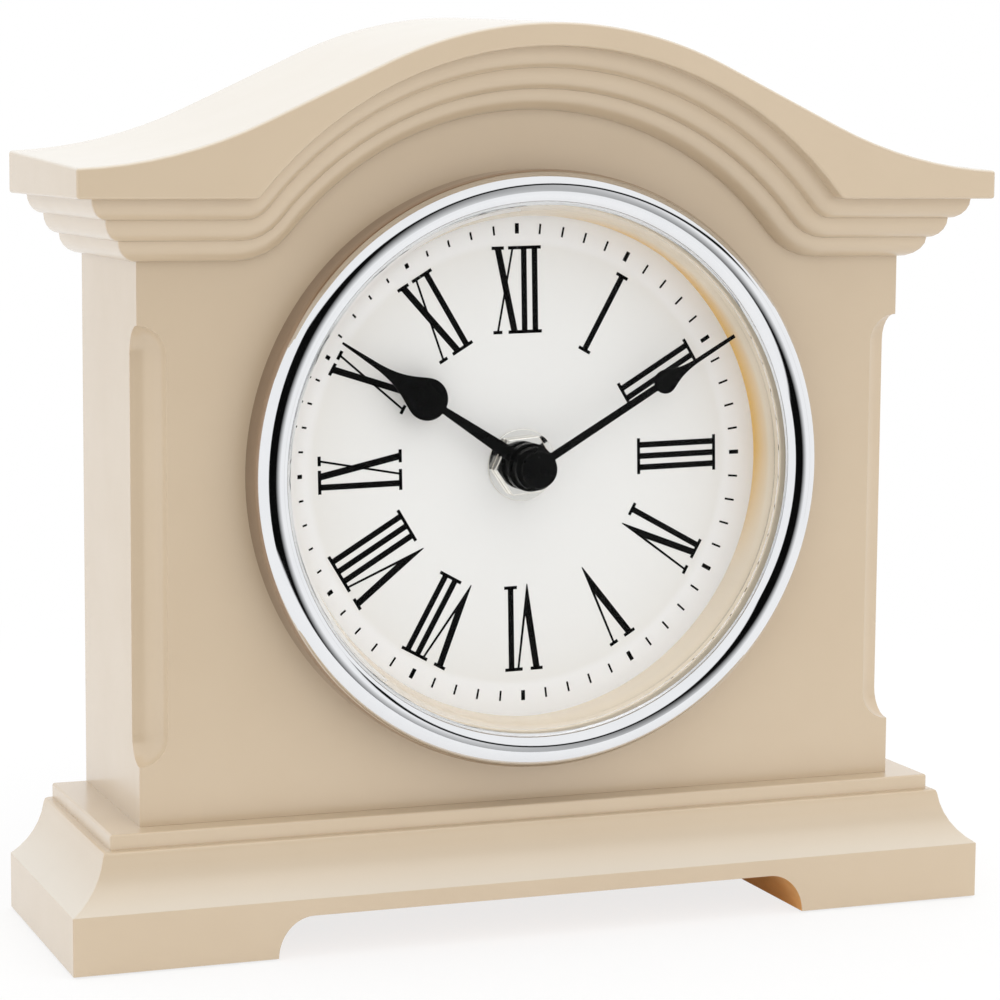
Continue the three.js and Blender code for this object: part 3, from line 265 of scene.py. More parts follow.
tree.links.new(tint.outputs[2], shader.inputs["Base Color"])
tree.links.new(sheen.outputs[0], shader.inputs["Roughness"])
tree.links.new(tooth.outputs[0], shader.inputs["Normal"])
print("dial card ring starts", RING_START, "mm from the axis")

# %% [markdown]
# The glass is a flat pane with a faint wave in it. A glass shader bends the view through it; light would
# be lost on the way to the dial, so rays towards a lamp and rays that leave the dial in search of light
# pass straight through instead. The pane mirrors very little, as glass with an anti-glare coat does.

# %% Clear glass
WAVE, WAVE_RELIEF = 22, 0.004
ANTI_GLARE = (0.1, 0.1, 0.1, 1)
clear_glass, tree, place, shader = start_finish("clear_polished_glass", {
    "Base Color": linear("#FCFDFD"), "Roughness": 0.0, "IOR": 1.5, "Transmission Weight": 1.0,
    "Specular Tint": ANTI_GLARE})
wave = add(tree, "ShaderNodeTexNoise", {"Vector": place, "Scale": 1 / (WAVE * MM), "Detail": 0.0})
ripple = {"Height": wave.outputs[0], "Distance": WAVE_RELIEF * MM, "Strength": 1.0}
bend = add(tree, "ShaderNodeBump", ripple)
tree.links.new(bend.outputs[0], shader.inputs["Normal"])
path = add(tree, "ShaderNodeLightPath")
clear = add(tree, "ShaderNodeBsdfTransparent")
surface = shader.outputs[0]
for ray in ("Is Shadow Ray", "Is Diffuse Ray"):
    ways = {0: path.outputs[ray], 1: surface, 2: clear.outputs[0]}
    surface = add(tree, "ShaderNodeMixShader", ways).outputs[0]
tree.links.new(surface, tree.nodes["Material Output"].inputs["Surface"])
print("glass lets the studio light through")

# %% [markdown]
# Behind the dial are plain working materials: dark hardboard with pressed fibres, moulded plastics with
# a spark-eroded texture, sintered ferrite, green solder mask and the printed jacket of the cell. What
# tells them apart is again colour, roughness and the size of the grain.

# %% Working materials
hardboard = mottled("oil_tempered_hardboard", "#4A3A2C", "#2E241C",
                    patch=2.5, gloss=(0.5, 0.75), grain=0.7, relief=0.03)
black_moulding = mottled("moulded_black_abs", "#191A1C", "#212225",
                         patch=6, gloss=(0.45, 0.6), grain=0.45, relief=0.02)
white_moulding = mottled("moulded_white_acetal", "#E6E3DA", "#DDD9CE",
                         patch=4, gloss=(0.4, 0.55), grain=0.5, relief=0.008)
dark_ferrite = mottled("sintered_ferrite", "#37383A", "#454648",
                       patch=1, gloss=(0.55, 0.75), grain=0.2, relief=0.02)
solder_mask = mottled("green_solder_mask", "#2C6A3E", "#245A34",
                      patch=3, gloss=(0.3, 0.45), grain=0.5, relief=0.01)
cell_jacket = mottled("printed_cell_jacket", "#3B4A5C", "#35434F",
                      patch=5, gloss=(0.28, 0.4), grain=0.6, relief=0.003, sockets={"Metallic": 0.4})
plain = (hardboard, black_moulding, white_moulding, dark_ferrite, solder_mask, cell_jacket)
print("working materials:", [m.name for m in plain])

# %% [markdown]
# A winding is one wire laid side by side, so its light comes in fine bands across the coil. The bands
# are painted: a paler and a darker copper stand for the highlight and the shade on each turn, with a bump
# along them. The wire is thinner than a pixel; the bands are drawn 0.4 mm apart so that they show. A wave
# texture of scale 1 repeats every 0.314 units, which sets its scale.

# %% Enamelled copper wire
BAND, BAND_RELIEF, WAVE_LENGTH = 0.4, 0.05, 0.314
SHADED_COPPER, LIT_COPPER = "#8E4722", "#C9743F"
enamel = {"Metallic": 1.0, "Roughness": 0.3}
copper_wire, tree, place, shader = start_finish("enamelled_copper_wire", enamel)
bands = {"Vector": place, "Scale": WAVE_LENGTH / (BAND * MM)}
turns = add(tree, "ShaderNodeTexWave", bands, bands_direction="DIAGONAL").outputs[1]
copper = {0: turns, 6: linear(SHADED_COPPER), 7: linear(LIT_COPPER)}
shade = add(tree, "ShaderNodeMix", copper, data_type="RGBA")
ridge = add(tree, "ShaderNodeBump", {"Height": turns, "Distance": BAND_RELIEF * MM, "Strength": 1.0})
tree.links.new(shade.outputs[2], shader.inputs["Base Color"])
tree.links.new(ridge.outputs[0], shader.inputs["Normal"])
print("finish:", copper_wire.name)

# %% [markdown]
# Every CAD node first gets the finish of its own slot. Pieces that the eye comes close to are then
# replaced one by one; what stays is mostly inside the movement.

# %% Finish for every CAD node
FINISHES = {
    "cream_paint": satin_lacquer, "well_paint": well_lacquer_painted_light, "hardboard": hardboard,
    "rubber": soft_rubber, "chrome": chrome_plate, "nickel": nickel_plate, "brass": turned_brass,
    "steel": zinc_steel, "clear_glass": clear_glass, "dial_print": dial_card,
    "black_enamel": black_enamel, "black_plastic": black_moulding, "white_plastic": white_moulding,
    "ferrite": dark_ferrite, "copper": copper_wire, "green_laminate": solder_mask,
    "battery_jacket": cell_jacket,
}
SLOT_OF = {row["node"]: row["material_slot"] for row in frame["record"]["subparts"]}
BODIES = frame["record"]["behaviour"]["bodies"]
BODY_OF = {node: body for body, nodes in BODIES.items() for node in nodes}
for node, piece in frame["nodes"].items():
    piece.data.materials.clear()
    piece.data.materials.append(FINISHES[SLOT_OF[node]])
print(len(frame["nodes"]), "nodes in", len(FINISHES), "finishes")

# %% [markdown]
# A finished mesh becomes a piece that rides on the body of the node it stands for, with the finish of that
# node's slot.
# Faces are shaded smooth across small angles and sharp across large ones, and weighted normals keep
# broad flat faces flat beside their rounded edges. Where a piece has two finishes, a second one is given
# to the faces that a test picks out.

# %% From mesh to piece
SHARP = 40


def put(name, bm, node, *others, finish=None, slot=None, replace=True):
    bm.normal_update()
    for face in bm.faces:
        face.smooth = True
    for edge in bm.edges:
        edge.smooth = edge.is_manifold and edge.calc_face_angle(0) < math.radians(SHARP)
    mesh = bpy.data.meshes.new(name)
    bm.to_mesh(mesh)
    bm.free()
    slot = slot or SLOT_OF[node]
    mesh.materials.append(finish or FINISHES[slot])
    piece = bpy.data.objects.new(name, mesh)
    bpy.context.scene.collection.objects.link(piece)
    piece.modifiers.new("even_shading", "WEIGHTED_NORMAL").keep_sharp = True
    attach(piece, BODY_OF[node])
    if replace:
        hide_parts(node, *others)
    print(name, len(mesh.polygons), "faces on", BODY_OF[node])
    return piece


def finish_some(piece, finish, chosen):
    piece.data.materials.append(finish)
    faces = [face for face in piece.data.polygons if chosen(face)]
    for face in faces:
        face.material_index = 1
    print(finish.name, "on", len(faces), "faces of", piece.name)


print("edges up to", SHARP, "degrees are shaded smooth")

# %% [markdown]
# The boards and mouldings already have their true form in the CAD, but with knife edges. A coat of
# lacquer never leaves one: it pulls back to a small round. So a copy of the node is welded, its flat
# faces made whole again, and the outward edges bevelled. A Bevel modifier would round the inward edges
# as well, which lacquer fills but doesn't round. The roof board is free on all sides, so all of its edges
# are eased.

# %% Copies with eased edges
FLAT, OUTWARD, EASE = 0.3, 30, 0.6


def carried(*nodes):
    bm = bmesh.new()
    for node in nodes:
        bm.from_mesh(frame["nodes"][node].data)
    bmesh.ops.remove_doubles(bm, verts=bm.verts, dist=WELD)
    return bm


def whole_faces(bm):
    bmesh.ops.dissolve_limit(bm, angle_limit=math.radians(FLAT), verts=bm.verts, edges=bm.edges)
    bm.normal_update()


def arrises(bm, keep=lambda a, b: True, least=OUTWARD):
    return [edge for edge in bm.edges
            if edge.is_manifold and edge.calc_face_angle_signed(0) > math.radians(least)
            and keep(edge.verts[0].co, edge.verts[1].co)]


def ease(bm, edges, width, steps=3):
    bmesh.ops.bevel(bm, geom=edges, offset=width * MM, segments=steps, profile=0.5, affect="EDGES",
                    clamp_overlap=True, material=-1)


def eased(node, width, keep=lambda a, b: True, least=OUTWARD, steps=3):
    bm = carried(node)
    whole_faces(bm)
    ease(bm, arrises(bm, keep, least), width, steps)
    return bm


put("roof_board", eased("roof_cap", EASE), "roof_cap", finish=lacquer_with_painted_top_light)

# %% [markdown]
# Front and side boards meet in flush joints that the lacquer fills. Only the edges that stand free are
# eased there: the flutes and the corners at the front, and the outer edges at the back.

# %% Body boards
FLUTE_DEPTH, FLUTE_FROM, FLUTE_EASE = 7, 70, 0.45
case_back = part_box("roof_cap")[1].y
case_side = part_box("front_board")[1].x


def on_flute(a, b):
    return max(a.y, b.y) < FRONT + FLUTE_DEPTH * MM and max(abs(a.x), abs(b.x)) > FLUTE_FROM * MM


def at_back_corner(a, b):
    return min(a.y, b.y) > case_back - MM and min(abs(a.x), abs(b.x)) > case_side - MM


put("front_panel", eased("front_board", FLUTE_EASE, on_flute), "front_board")
for side in ("left", "right"):
    put("side_panel_" + side, eased("side_board_" + side, EASE, at_back_corner), "side_board_" + side)

# %% [markdown]
# The cornice is three quarter-rounds that run round the front in one line. They meet in crisp inward
# corners, and only the mitres at the two front corners stand out, so those are eased: there a point lies
# as far out to the side as it lies out to the front.

# %% Cornice mouldings
SLACK, MITRE_LEAST, MITRE_EASE = 0.05, 20, 0.35


def on_mitre(a, b):
    return all(abs(abs(p.x) - case_side + p.y - FRONT) < SLACK * MM and p.y < FRONT for p in (a, b))


for level in ("lower", "middle", "upper"):
    bm = eased("cornice_" + level, MITRE_EASE, on_mitre, MITRE_LEAST, 2)
    put("cornice_moulding_" + level, bm, "cornice_" + level)

# %% [markdown]
# The base is one routed moulding: a slab and, with no joint to be seen, the hollow above it. The two
# CAD solids are welded where they meet and the faces between them are taken out, so that a single soft
# edge runs where the hollow starts. The faces inside the foot cut get a matt orange tan, painted shade of
# the hollow under the base. The square cap on top stays a piece of its own.

# %% Moulded base
CUT_TOP, CUT_HALF, CUT_FACING = 9.3, 58.2, 0.4
BASE_LEAST, BASE_EASE, STEP_EASE, NEAR = 20, 0.9, 0.5, 0.1
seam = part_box("base_slab")[1].z
cove_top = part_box("base_cove")[1].z
step_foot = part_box("plinth_cap")[0].z


def below_cove_top(a, b):
    return max(a.z, b.z) < cove_top - NEAR * MM


def above_step_foot(a, b):
    return max(a.z, b.z) > step_foot + MM


def in_foot_cut(face):
    within = face.center.z < CUT_TOP * MM and abs(face.center.x) < CUT_HALF * MM
    return within and abs(face.normal.y) < CUT_FACING


bm = carried("base_slab", "base_cove")
inside = [f for f in bm.faces if all(abs(v.co.z - seam) < WELD for v in f.verts)]
bmesh.ops.delete(bm, geom=inside, context="FACES")
whole_faces(bm)
ease(bm, arrises(bm, below_cove_top, BASE_LEAST), BASE_EASE)
base = put("moulded_base", bm, "base_slab", "base_cove", finish=lacquer_with_painted_top_light)
finish_some(base, foot_cut_painted_shade, in_foot_cut)
put("plinth_step", eased("plinth_cap", STEP_EASE, above_step_foot), "plinth_cap")

# %% [markdown]
# Round pieces are turned on a lathe, and here they are spun: a profile of radius and depth, in
# millimetres from the front of the case, goes once round the dial axis. A profile that starts on the
# axis stays open there, since its ends close into a point.
# The first one is the bezel, a rolled ring: a plain outer wall, a bead with the section of half an
# ellipse, and behind it a skirt that drops into the bore of the front board. The mirror needs a fine bead,
# so the half ellipse gets forty steps. The wall gets the warm grey with the painted reflection of the
# shaded
# board: its faces lie furthest from the axis.

# %% Spun pieces and the chrome bezel
WIDE_RING = 192
BEZEL, SKIRT_OUT, SKIRT_IN, SKIRT_END = 60.4, 58.2, 56.9, 6.55
BEAD_WIDTH, BEAD_DEPTH, BEAD_BACK, BEAD_STEPS, LIP, SEAT, WALL = 7.4, 3.8, -5.95, 40, 1.5, -6.65, 59.95


def lathe(points, closed, centre, axis, steps):
    bm = bmesh.new()
    verts = [bm.verts.new(point) for point in points]
    edges = [bm.edges.new(pair) for pair in zip(verts, verts[1:])]
    if closed:
        edges.append(bm.edges.new((verts[-1], verts[0])))
    bmesh.ops.spin(bm, geom=verts + edges, cent=centre, axis=axis, angle=math.tau, steps=steps,
                   use_merge=True)
    bmesh.ops.remove_doubles(bm, verts=bm.verts, dist=WELD)
    bmesh.ops.recalc_face_normals(bm, faces=bm.faces)
    return bm


def spun(profile, steps, across=0, upwards=0):
    x, z = across * MM, AXIS + upwards * MM
    points = [(x + r * MM, FRONT + d * MM, z) for r, d in profile]
    return lathe(points, profile[0][0] > 0, (x, 0, z), (0, 1, 0), steps)


def arc(centre, radii, first, last, steps):
    turns = [math.radians(first + (last - first) * k / steps) for k in range(steps + 1)]
    return [(centre[0] + radii[0] * math.cos(t), centre[1] + radii[1] * math.sin(t)) for t in turns]


last_turn = 180 - math.degrees(math.asin(LIP / BEAD_DEPTH))
bead = arc((BEZEL - BEAD_WIDTH / 2, BEAD_BACK), (BEAD_WIDTH / 2, -BEAD_DEPTH), 0, last_turn, BEAD_STEPS)
skirt = [(SKIRT_IN, SEAT), (SKIRT_IN, SKIRT_END), (SKIRT_OUT, SKIRT_END), (SKIRT_OUT, 0)]
bezel = put("chrome_bezel", spun([(BEZEL, 0), *bead, *skirt], WIDE_RING), "bezel_ring")
# The wall's warm grey is a painted reflection of the shaded board.
finish_some(bezel, bezel_wall_painted_reflection, lambda face: math.hypot(face.center.x, face.center.z - AXIS) > WALL * MM)

# %% [markdown]
# The glass is a flat moulded pane with a low locating rim on its inner side. A hollow fillet leads up to
# that rim, and where the view passes through it the minute marks behind look shortened. The well is the
# painted wall between the glass and the dial, a little wider at its mouth.

# %% Glass and well
GLASS_RADIUS, GLASS_FACE, GLASS_BACK, LOCATING = 56.6, -6.35, -4.55, 52.9
FILLET, FILLET_WIDTH, FILLET_STEPS, STEEPEST = 5.0, 2.9, 12, 27
hollow = (LOCATING - FILLET_WIDTH, GLASS_BACK + FILLET)
fillet = arc(hollow, (FILLET, FILLET), STEEPEST - 90, -90, FILLET_STEPS)
rim = (LOCATING, fillet[0][1])
pane = [(0, GLASS_FACE), (GLASS_RADIUS, GLASS_FACE), (GLASS_RADIUS, GLASS_BACK), (LOCATING, GLASS_BACK)]
put("polished_glass", spun([*pane, rim, *fillet, (0, GLASS_BACK)], WIDE_RING), "glass")

WELL_MOUTH, WELL_FRONT, WELL_FOOT, WELL_EASE, DIAL_DEPTH = 53.2, -4.25, 52.4, 0.3, 6.85
outside = [(GLASS_RADIUS, WELL_FRONT), (GLASS_RADIUS, DIAL_DEPTH)]
bm = spun([(WELL_MOUTH, WELL_FRONT), *outside, (WELL_FOOT, DIAL_DEPTH)], WIDE_RING)
ease(bm, arrises(bm, lambda a, b: max(a.y, b.y) < FRONT), WELL_EASE)
put("painted_well", bm, "dial_well")

# %% [markdown]
# The print lies on the dial as a film of ink, a little turned and off the middle, as it was screened.
# Each numeral is set upright at its own hour with its foot towards the middle, so a letter is drawn once
# about a centre line, t across and r outwards, and turned into place. Strokes are flat faces that get
# their thickness at the end; as a picture on the card they would blur on a close look.

# %% Strokes of the letters
INK, SERIF = 0.03, 0.68
PRINT_TURN, PRINT_X, PRINT_Z = -1.3, -0.3, 0.15
ink = bmesh.new()


def flat(corners, hour_angle):
    middle = Matrix.Translation((PRINT_X * MM, DIAL_FACE, AXIS + PRINT_Z * MM))
    turn = middle @ Matrix.Rotation(math.radians(hour_angle + PRINT_TURN), 4, "Y")
    ink.faces.new([ink.verts.new(turn @ Vector((t * MM, -INK * MM, r * MM))) for t, r in corners])


def stroke(top, foot, width, high, low, angle):
    half = width / 2
    flat([(top - half, high), (foot - half, low), (foot + half, low), (top + half, high)], angle)


def serif(t, width, r, angle):
    stroke(t, t, width, r + SERIF / 2, r - SERIF / 2, angle)


print("ink film", INK, "mm in front of the dial, turned by", PRINT_TURN, "degrees")

# %% [markdown]
# The letters are narrow Roman capitals with hairline and heavy strokes and flat serifs. A V is one
# outline, since its two strokes share a point; I and X are made of bars.

# %% Letters I, V and X
WIDE_SERIF, SMALL_SERIF, STEM_SERIF = 2.65, 1.95, 2.8
STEM, HEAVY, HAIR = 1.22, 1.4, 0.45
X_HEAD, X_FOOT, V_HEAD, V_POINT, V_TIP, V_DROP = 1.6, 1.82, 2.03, -0.1, 0.1, 0.6


def letter_i(t, high, low, angle):
    stroke(t, t, STEM, high, low, angle)
    for r in (high, low):
        serif(t, STEM_SERIF, r, angle)


def letter_x(t, high, low, angle):
    stroke(t - X_HEAD, t + X_FOOT, HEAVY, high, low, angle)
    stroke(t + X_HEAD, t - X_FOOT, HAIR, high, low, angle)
    for at, width, r in ((-X_HEAD, WIDE_SERIF, high), (X_HEAD, SMALL_SERIF, high),
                         (X_FOOT, WIDE_SERIF, low), (-X_FOOT, SMALL_SERIF, low)):
        serif(t + at, width, r, angle)


def letter_v(t, high, low, angle):
    left, right = t - V_HEAD - HEAVY / 2, t + V_HEAD + HAIR / 2
    point, foot = t + V_POINT, low - V_DROP
    gap_head, gap_foot = right - HAIR - left - HEAVY, -HAIR - HEAVY
    share = gap_head / (gap_head - gap_foot)
    crotch = (left + HEAVY + (point - left) * share, high + (foot - high) * share)
    flat([(left, high), (point - V_TIP, foot), (point + V_TIP, foot), (right, high), (right - HAIR, high),
          crotch, (left + HEAVY, high)], angle)
    serif(t - V_HEAD, WIDE_SERIF, high, angle)
    serif(t + V_HEAD, SMALL_SERIF, high, angle)


LETTERS = {"I": letter_i, "V": letter_v, "X": letter_x}
print("letters:", *LETTERS)

# %% [markdown]
# Each hour's row gives its letters, where the first stands across the centre line and how far out its
# head reaches; the next letter follows at the usual distance for that pair. The minute track is a stroke
# for each minute, heavier at the hours.

# %% Numerals and minute track
LETTER_HEIGHT, HOUR_STEP, MINUTE_STEP, MINUTES = 17.1, 30, 6, 60
NUMERALS = {
    1: ("I", 1.15, 44.1), 2: ("II", -1.14, 43.9), 3: ("III", -2.54, 43.5), 4: ("IV", -3.1, 44.0),
    5: ("V", -0.4, 43.7), 6: ("VI", -1.05, 42.6), 7: ("VII", -2.52, 44.3), 8: ("VIII", -3.19, 44.1),
    9: ("IX", -2.47, 42.95), 10: ("X", 0.0, 45.0), 11: ("XI", -1.28, 44.2), 12: ("XII", -2.6, 44.2),
}
PAIRS = {"II": 2.34, "IV": 3.7, "IX": 3.7, "VI": 3.5, "XI": 4.02}
for hour, (letters, t, high) in NUMERALS.items():
    for k, letter in enumerate(letters):
        if k:
            t += PAIRS[letters[k - 1] + letter]
        LETTERS[letter](t, high, high - LETTER_HEIGHT, HOUR_STEP * hour)

TRACK, TICK, MINUTE_TICK, HOUR_TICK, FILM = 48.1, 2.1, 0.42, 0.85, 0.9 * INK
for minute in range(MINUTES):
    width = MINUTE_TICK if minute * MINUTE_STEP % HOUR_STEP else HOUR_TICK
    stroke(0, 0, width, TRACK + TICK / 2, TRACK - TICK / 2, MINUTE_STEP * minute)
bmesh.ops.recalc_face_normals(ink, faces=ink.faces)
for face in ink.faces:
    if face.normal.y > 0:
        face.normal_flip()
bmesh.ops.solidify(ink, geom=ink.faces, thickness=FILM * MM)
put("dial_numerals", ink, "dial_plate", finish=dial_ink, slot="black_enamel", replace=False)

# %% [markdown]
# A spade hand is stamped from thin sheet: a narrow shaft, a round blade and a needle. Its outline is all
# curves, so it is drawn as a Bezier curve: one side is a list of knots, each with the handle before it
# and the one after it, or None where a straight edge meets the knot. On the round blade a handle is
# 4/3 tan(a/4) of the radius long, which makes the curve follow a circle through the angle a.

# %% Outline of a spade hand
SHOULDER, SWELL, WAIST, WAIST_WIDTH = 20, 0.6, 1.47, 0.7
HANDS = {
    "hour_hand": {
        "root": 3.3, "shaft": 1.5, "blade": 4.3, "blade_at": 26.32, "needle": 1.1, "needle_at": 39.99,
        "tip": 0.45, "length": 47.62, "start": 3.4},
    "minute_hand": {
        "root": 1.7, "shaft": 1.4, "blade": 2.45, "blade_at": 33.28, "needle": 0.9, "needle_at": 41.47,
        "tip": 0.75, "length": 51.2, "start": 2.6},
}


def side_of_spade(root, shaft, blade, blade_at, needle, needle_at, tip, length, start):
    meet = math.degrees(math.asin(shaft / 2 / blade)) - 90
    joint = blade_at - math.sqrt(blade ** 2 - shaft ** 2 / 4)
    knots = [(((root + (shaft - root) * start / joint) / 2, start), None, None)]
    angles = [meet, (meet + SHOULDER) / 2, SHOULDER]
    grip = 4 / 3 * math.tan(math.radians(angles[1] - angles[0]) / 4) * blade
    for k, angle in enumerate(angles):
        c, s = math.cos(math.radians(angle)), math.sin(math.radians(angle))
        point = Vector((blade * c, blade_at + blade * s))
        along = Vector((-s, c))
        before = None if k == 0 else point - along * grip
        knots.append((point, before, point + along * (SWELL * blade if angle == SHOULDER else grip)))
    knots.append(((needle / 2, needle_at), (WAIST_WIDTH * needle, blade_at + WAIST * blade), None))
    knots.append(((tip / 2, length), None, None))
    return knots


def mirrored(point):
    return point and (-point[0], point[1])


for hand, sizes in HANDS.items():
    print(hand, "has", len(side_of_spade(**sizes)), "knots on each side")

# %% [markdown]
# Blender fills the flat curve and gives it a rounded edge, as the stamping and the enamel do. The curve
# is made a mesh before it is turned to its hour, and a collar is spun round its root.

# %% Spade hands
SHEET, SHEET_ROUND, CURVE_STEPS, ROUND_STEPS = 0.5, 0.08, 16, 2
SMALL_RING, COLLAR_EASE = 64, 0.2
COLLARS = {
    "hour_hand": {"angle": 303, "radius": 4.95, "bore": 2.8, "near": 1.0, "far": 3.1},
    "minute_hand": {"angle": 59.3, "radius": 4.4, "bore": 1.95, "near": -1.95, "far": 0.55},
}


def spade_plate(name, sizes):
    right = side_of_spade(**sizes)
    left = [(mirrored(point), mirrored(after), mirrored(before))
            for point, before, after in reversed(right)]
    curve = bpy.data.curves.new(name, "CURVE")
    curve.dimensions, curve.fill_mode, curve.resolution_u = "2D", "BOTH", CURVE_STEPS
    curve.bevel_depth, curve.bevel_resolution = SHEET_ROUND * MM, ROUND_STEPS
    curve.extrude = SHEET / 2 * MM - curve.bevel_depth
    curve.offset = -curve.bevel_depth
    spline = curve.splines.new("BEZIER")
    spline.bezier_points.add(len(right) + len(left) - 1)
    spline.use_cyclic_u = True
    for knot, (point, before, after) in zip(spline.bezier_points, right + left):
        knot.co = (*(c * MM for c in point), 0)
        knot.handle_left_type = "FREE" if before else "VECTOR"
        knot.handle_right_type = "FREE" if after else "VECTOR"
        if before:
            knot.handle_left = (*(c * MM for c in before), 0)
        if after:
            knot.handle_right = (*(c * MM for c in after), 0)
    holder = bpy.data.objects.new(name, curve)
    bpy.context.scene.collection.objects.link(holder)
    bpy.context.view_layer.update()
    mesh = bpy.data.meshes.new_from_object(holder.evaluated_get(bpy.context.evaluated_depsgraph_get()))
    bpy.data.objects.remove(holder)
    return mesh


for node, collar in COLLARS.items():
    bore, radius, near, far = (collar[size] for size in ("bore", "radius", "near", "far"))
    plate = spade_plate(node + "_sheet", HANDS[node])
    middle = Matrix.Translation((0, FRONT + (near + far) / 2 * MM, AXIS))
    stand = middle @ Matrix.Rotation(math.radians(collar["angle"]), 4, "Y")
    plate.transform(stand @ Matrix.Rotation(math.pi / 2, 4, "X"))
    bm = spun([(bore, near), (radius, near), (radius, far), (bore, far)], SMALL_RING)
    ease(bm, arrises(bm), COLLAR_EASE)
    bm.from_mesh(plate)
    bmesh.ops.remove_doubles(bm, verts=bm.verts, dist=WELD)
    put("spade_" + node, bm, node)

# %% [markdown]
# At the middle a push-on cap hides the end of the arbor. Behind the hands a hexagon nut on a threaded
# bush holds dial and movement together, with a washer under it. The thread shows only at its front end,
# so it is drawn as turned grooves half a millimetre apart; a true helix would look the same there.

# %% Centre fixing
CAP, CAP_FRONT, CAP_BACK, CAP_ROUND, CAP_STEPS = 3.8, -4.05, -2.25, 0.6, 6
SOCKET, SOCKET_FLOOR = 1.95, CAP_BACK - 1.1
edge = arc((CAP - CAP_ROUND, CAP_FRONT + CAP_ROUND), (CAP_ROUND, CAP_ROUND), -90, 0, CAP_STEPS)
socket = [(SOCKET, CAP_BACK), (SOCKET, SOCKET_FLOOR), (0, SOCKET_FLOOR)]
put("push_on_cap", spun([(0, CAP_FRONT), *edge, (CAP, CAP_BACK), *socket], SMALL_RING), "hub_cap")

BUSH_FRONT, BUSH_FLOOR, BUSH_BACK, BUSH, BUSH_BORE, FLANGE = 3.4, 9.65, 10.45, 3.9, 2.8, 5.5
PITCH, THREAD, THREAD_START, THREAD_POINTS = 0.5, 0.25, BUSH_FRONT + 0.25, 24
groove = [(BUSH - THREAD * (k % 2), THREAD_START + PITCH / 2 * k) for k in range(THREAD_POINTS)]
end = [(BUSH_BORE, BUSH_FRONT), (BUSH - THREAD, BUSH_FRONT)]
flange = [(BUSH, BUSH_FLOOR), (FLANGE, BUSH_FLOOR), (FLANGE, BUSH_BACK), (BUSH_BORE, BUSH_BACK)]
put("bush_with_thread", spun([*end, *groove, *flange], SMALL_RING), "threaded_bush")

NUT_EASE = 0.3
put("chamfered_nut", eased("hex_nut", NUT_EASE), "hex_nut")

WASHER, WASHER_BORE, WASHER_FRONT, WASHER_EASE, WASHER_RING = 7.4, 4.0, 6.35, 0.15, 96
front_edge = [(WASHER_BORE, WASHER_FRONT), (WASHER, WASHER_FRONT)]
back_edge = [(WASHER, DIAL_DEPTH), (WASHER_BORE, DIAL_DEPTH)]
bm = spun(front_edge + back_edge, WASHER_RING)
ease(bm, arrises(bm), WASHER_EASE)
put("flat_washer", bm, "dial_washer")

# %% [markdown]
# The back is a sheet of hardboard let into the case, with a window for the movement. Its edges at the
# back were broken with a stroke of sandpaper, so only those are eased.

# %% Back board
SQUARE, BACK_EASE = 60, 0.35
back_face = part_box("back_panel")[1].y


def at_face(face):
    return lambda a, b: min(a.y, b.y) > face - SLACK * MM


put("pressed_back_board", eased("back_panel", BACK_EASE, at_face(back_face), SQUARE, 2), "back_panel")

# %% [markdown]
# Four countersunk screws with a cross recess hold the back. A screw is spun with its head left open; the
# ring between the rim and the cross is filled, and the cross goes down to a smaller floor. A boolean cut
# would leave the same shape with ragged faces.

# %% Screws
HEAD, SHANK, SCREW, SEAT_DEPTH, OPEN, SCREW_RING = 2.9, 1.5, 13, 0.77, 2.1, 32
ARM, HALF_ARM, RECESS, TAPER = 1.6, 0.42, 0.9, 0.6
back_depth = (back_face - FRONT) / MM
tip = back_depth - SCREW
shaft = [(0, tip), (SHANK, tip + SHANK), (SHANK, back_depth - SEAT_DEPTH)]
head = [(HEAD, back_depth), (OPEN, back_depth)]
quarter = [(HALF_ARM, -HALF_ARM), (ARM, -HALF_ARM), (ARM, HALF_ARM)]
quarter_turns = ((1, 0), (0, 1), (-1, 0), (0, -1))
cross = [(x * c - z * s, x * s + z * c) for c, s in quarter_turns for x, z in quarter]
for k in range(1, 5):
    low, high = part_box(f"back_screw_{k}")
    middle = (low + high) / 2
    bm = spun(shaft + head, SCREW_RING, middle.x / MM, (middle.z - AXIS) / MM)
    loops = []
    for depth, scale in ((0, MM), (RECESS * MM, TAPER * MM)):
        corners = [(middle.x + x * scale, back_face - depth, middle.z + z * scale) for x, z in cross]
        loops.append([bm.verts.new(corner) for corner in corners])
    mouth, floor = loops
    sides = [(i - 1, i) for i in range(len(cross))]
    open_edges = [e for e in bm.edges if e.is_boundary]
    open_edges += [bm.edges.new((mouth[i], mouth[j])) for i, j in sides]
    bmesh.ops.triangle_fill(bm, edges=open_edges, use_beauty=True)
    for i, j in sides:
        bm.faces.new((mouth[i], mouth[j], floor[j], floor[i]))
    bm.faces.new(floor)
    bmesh.ops.recalc_face_normals(bm, faces=bm.faces)
    put(f"cross_head_screw_{k}", bm, f"back_screw_{k}")

# %% [markdown]
# Through the window the moulded movement shows: an open bay with the cell, a cover and three buttons.
# Moulded edges are never quite sharp, and a button is rounded over for the finger.

# %% Movement case and buttons
BUTTON_ROUND, BUTTON_STEPS = 0.7, 5
MOULDINGS = {"movement_housing": ("moulded_housing", 0.4), "movement_cover": ("moulded_cover", 0.3)}
movement_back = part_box("movement_housing")[1].y
for node, (name, width) in MOULDINGS.items():
    put(name, eased(node, width, at_face(movement_back), SQUARE, 2), node)
for node in ("reset_button", "set_button", "receive_button"):
    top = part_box(node)[1].y
    put("rounded_" + node, eased(node, BUTTON_ROUND, at_face(top), steps=BUTTON_STEPS), node)

# %% [markdown]
# The cell is a steel can in a printed jacket that is shrunk over its ends. It is spun about its own
# length; the jacket has a plain copper band towards the button end, and both ends are bare nickel. The
# CAD cell tells which way its button end points.

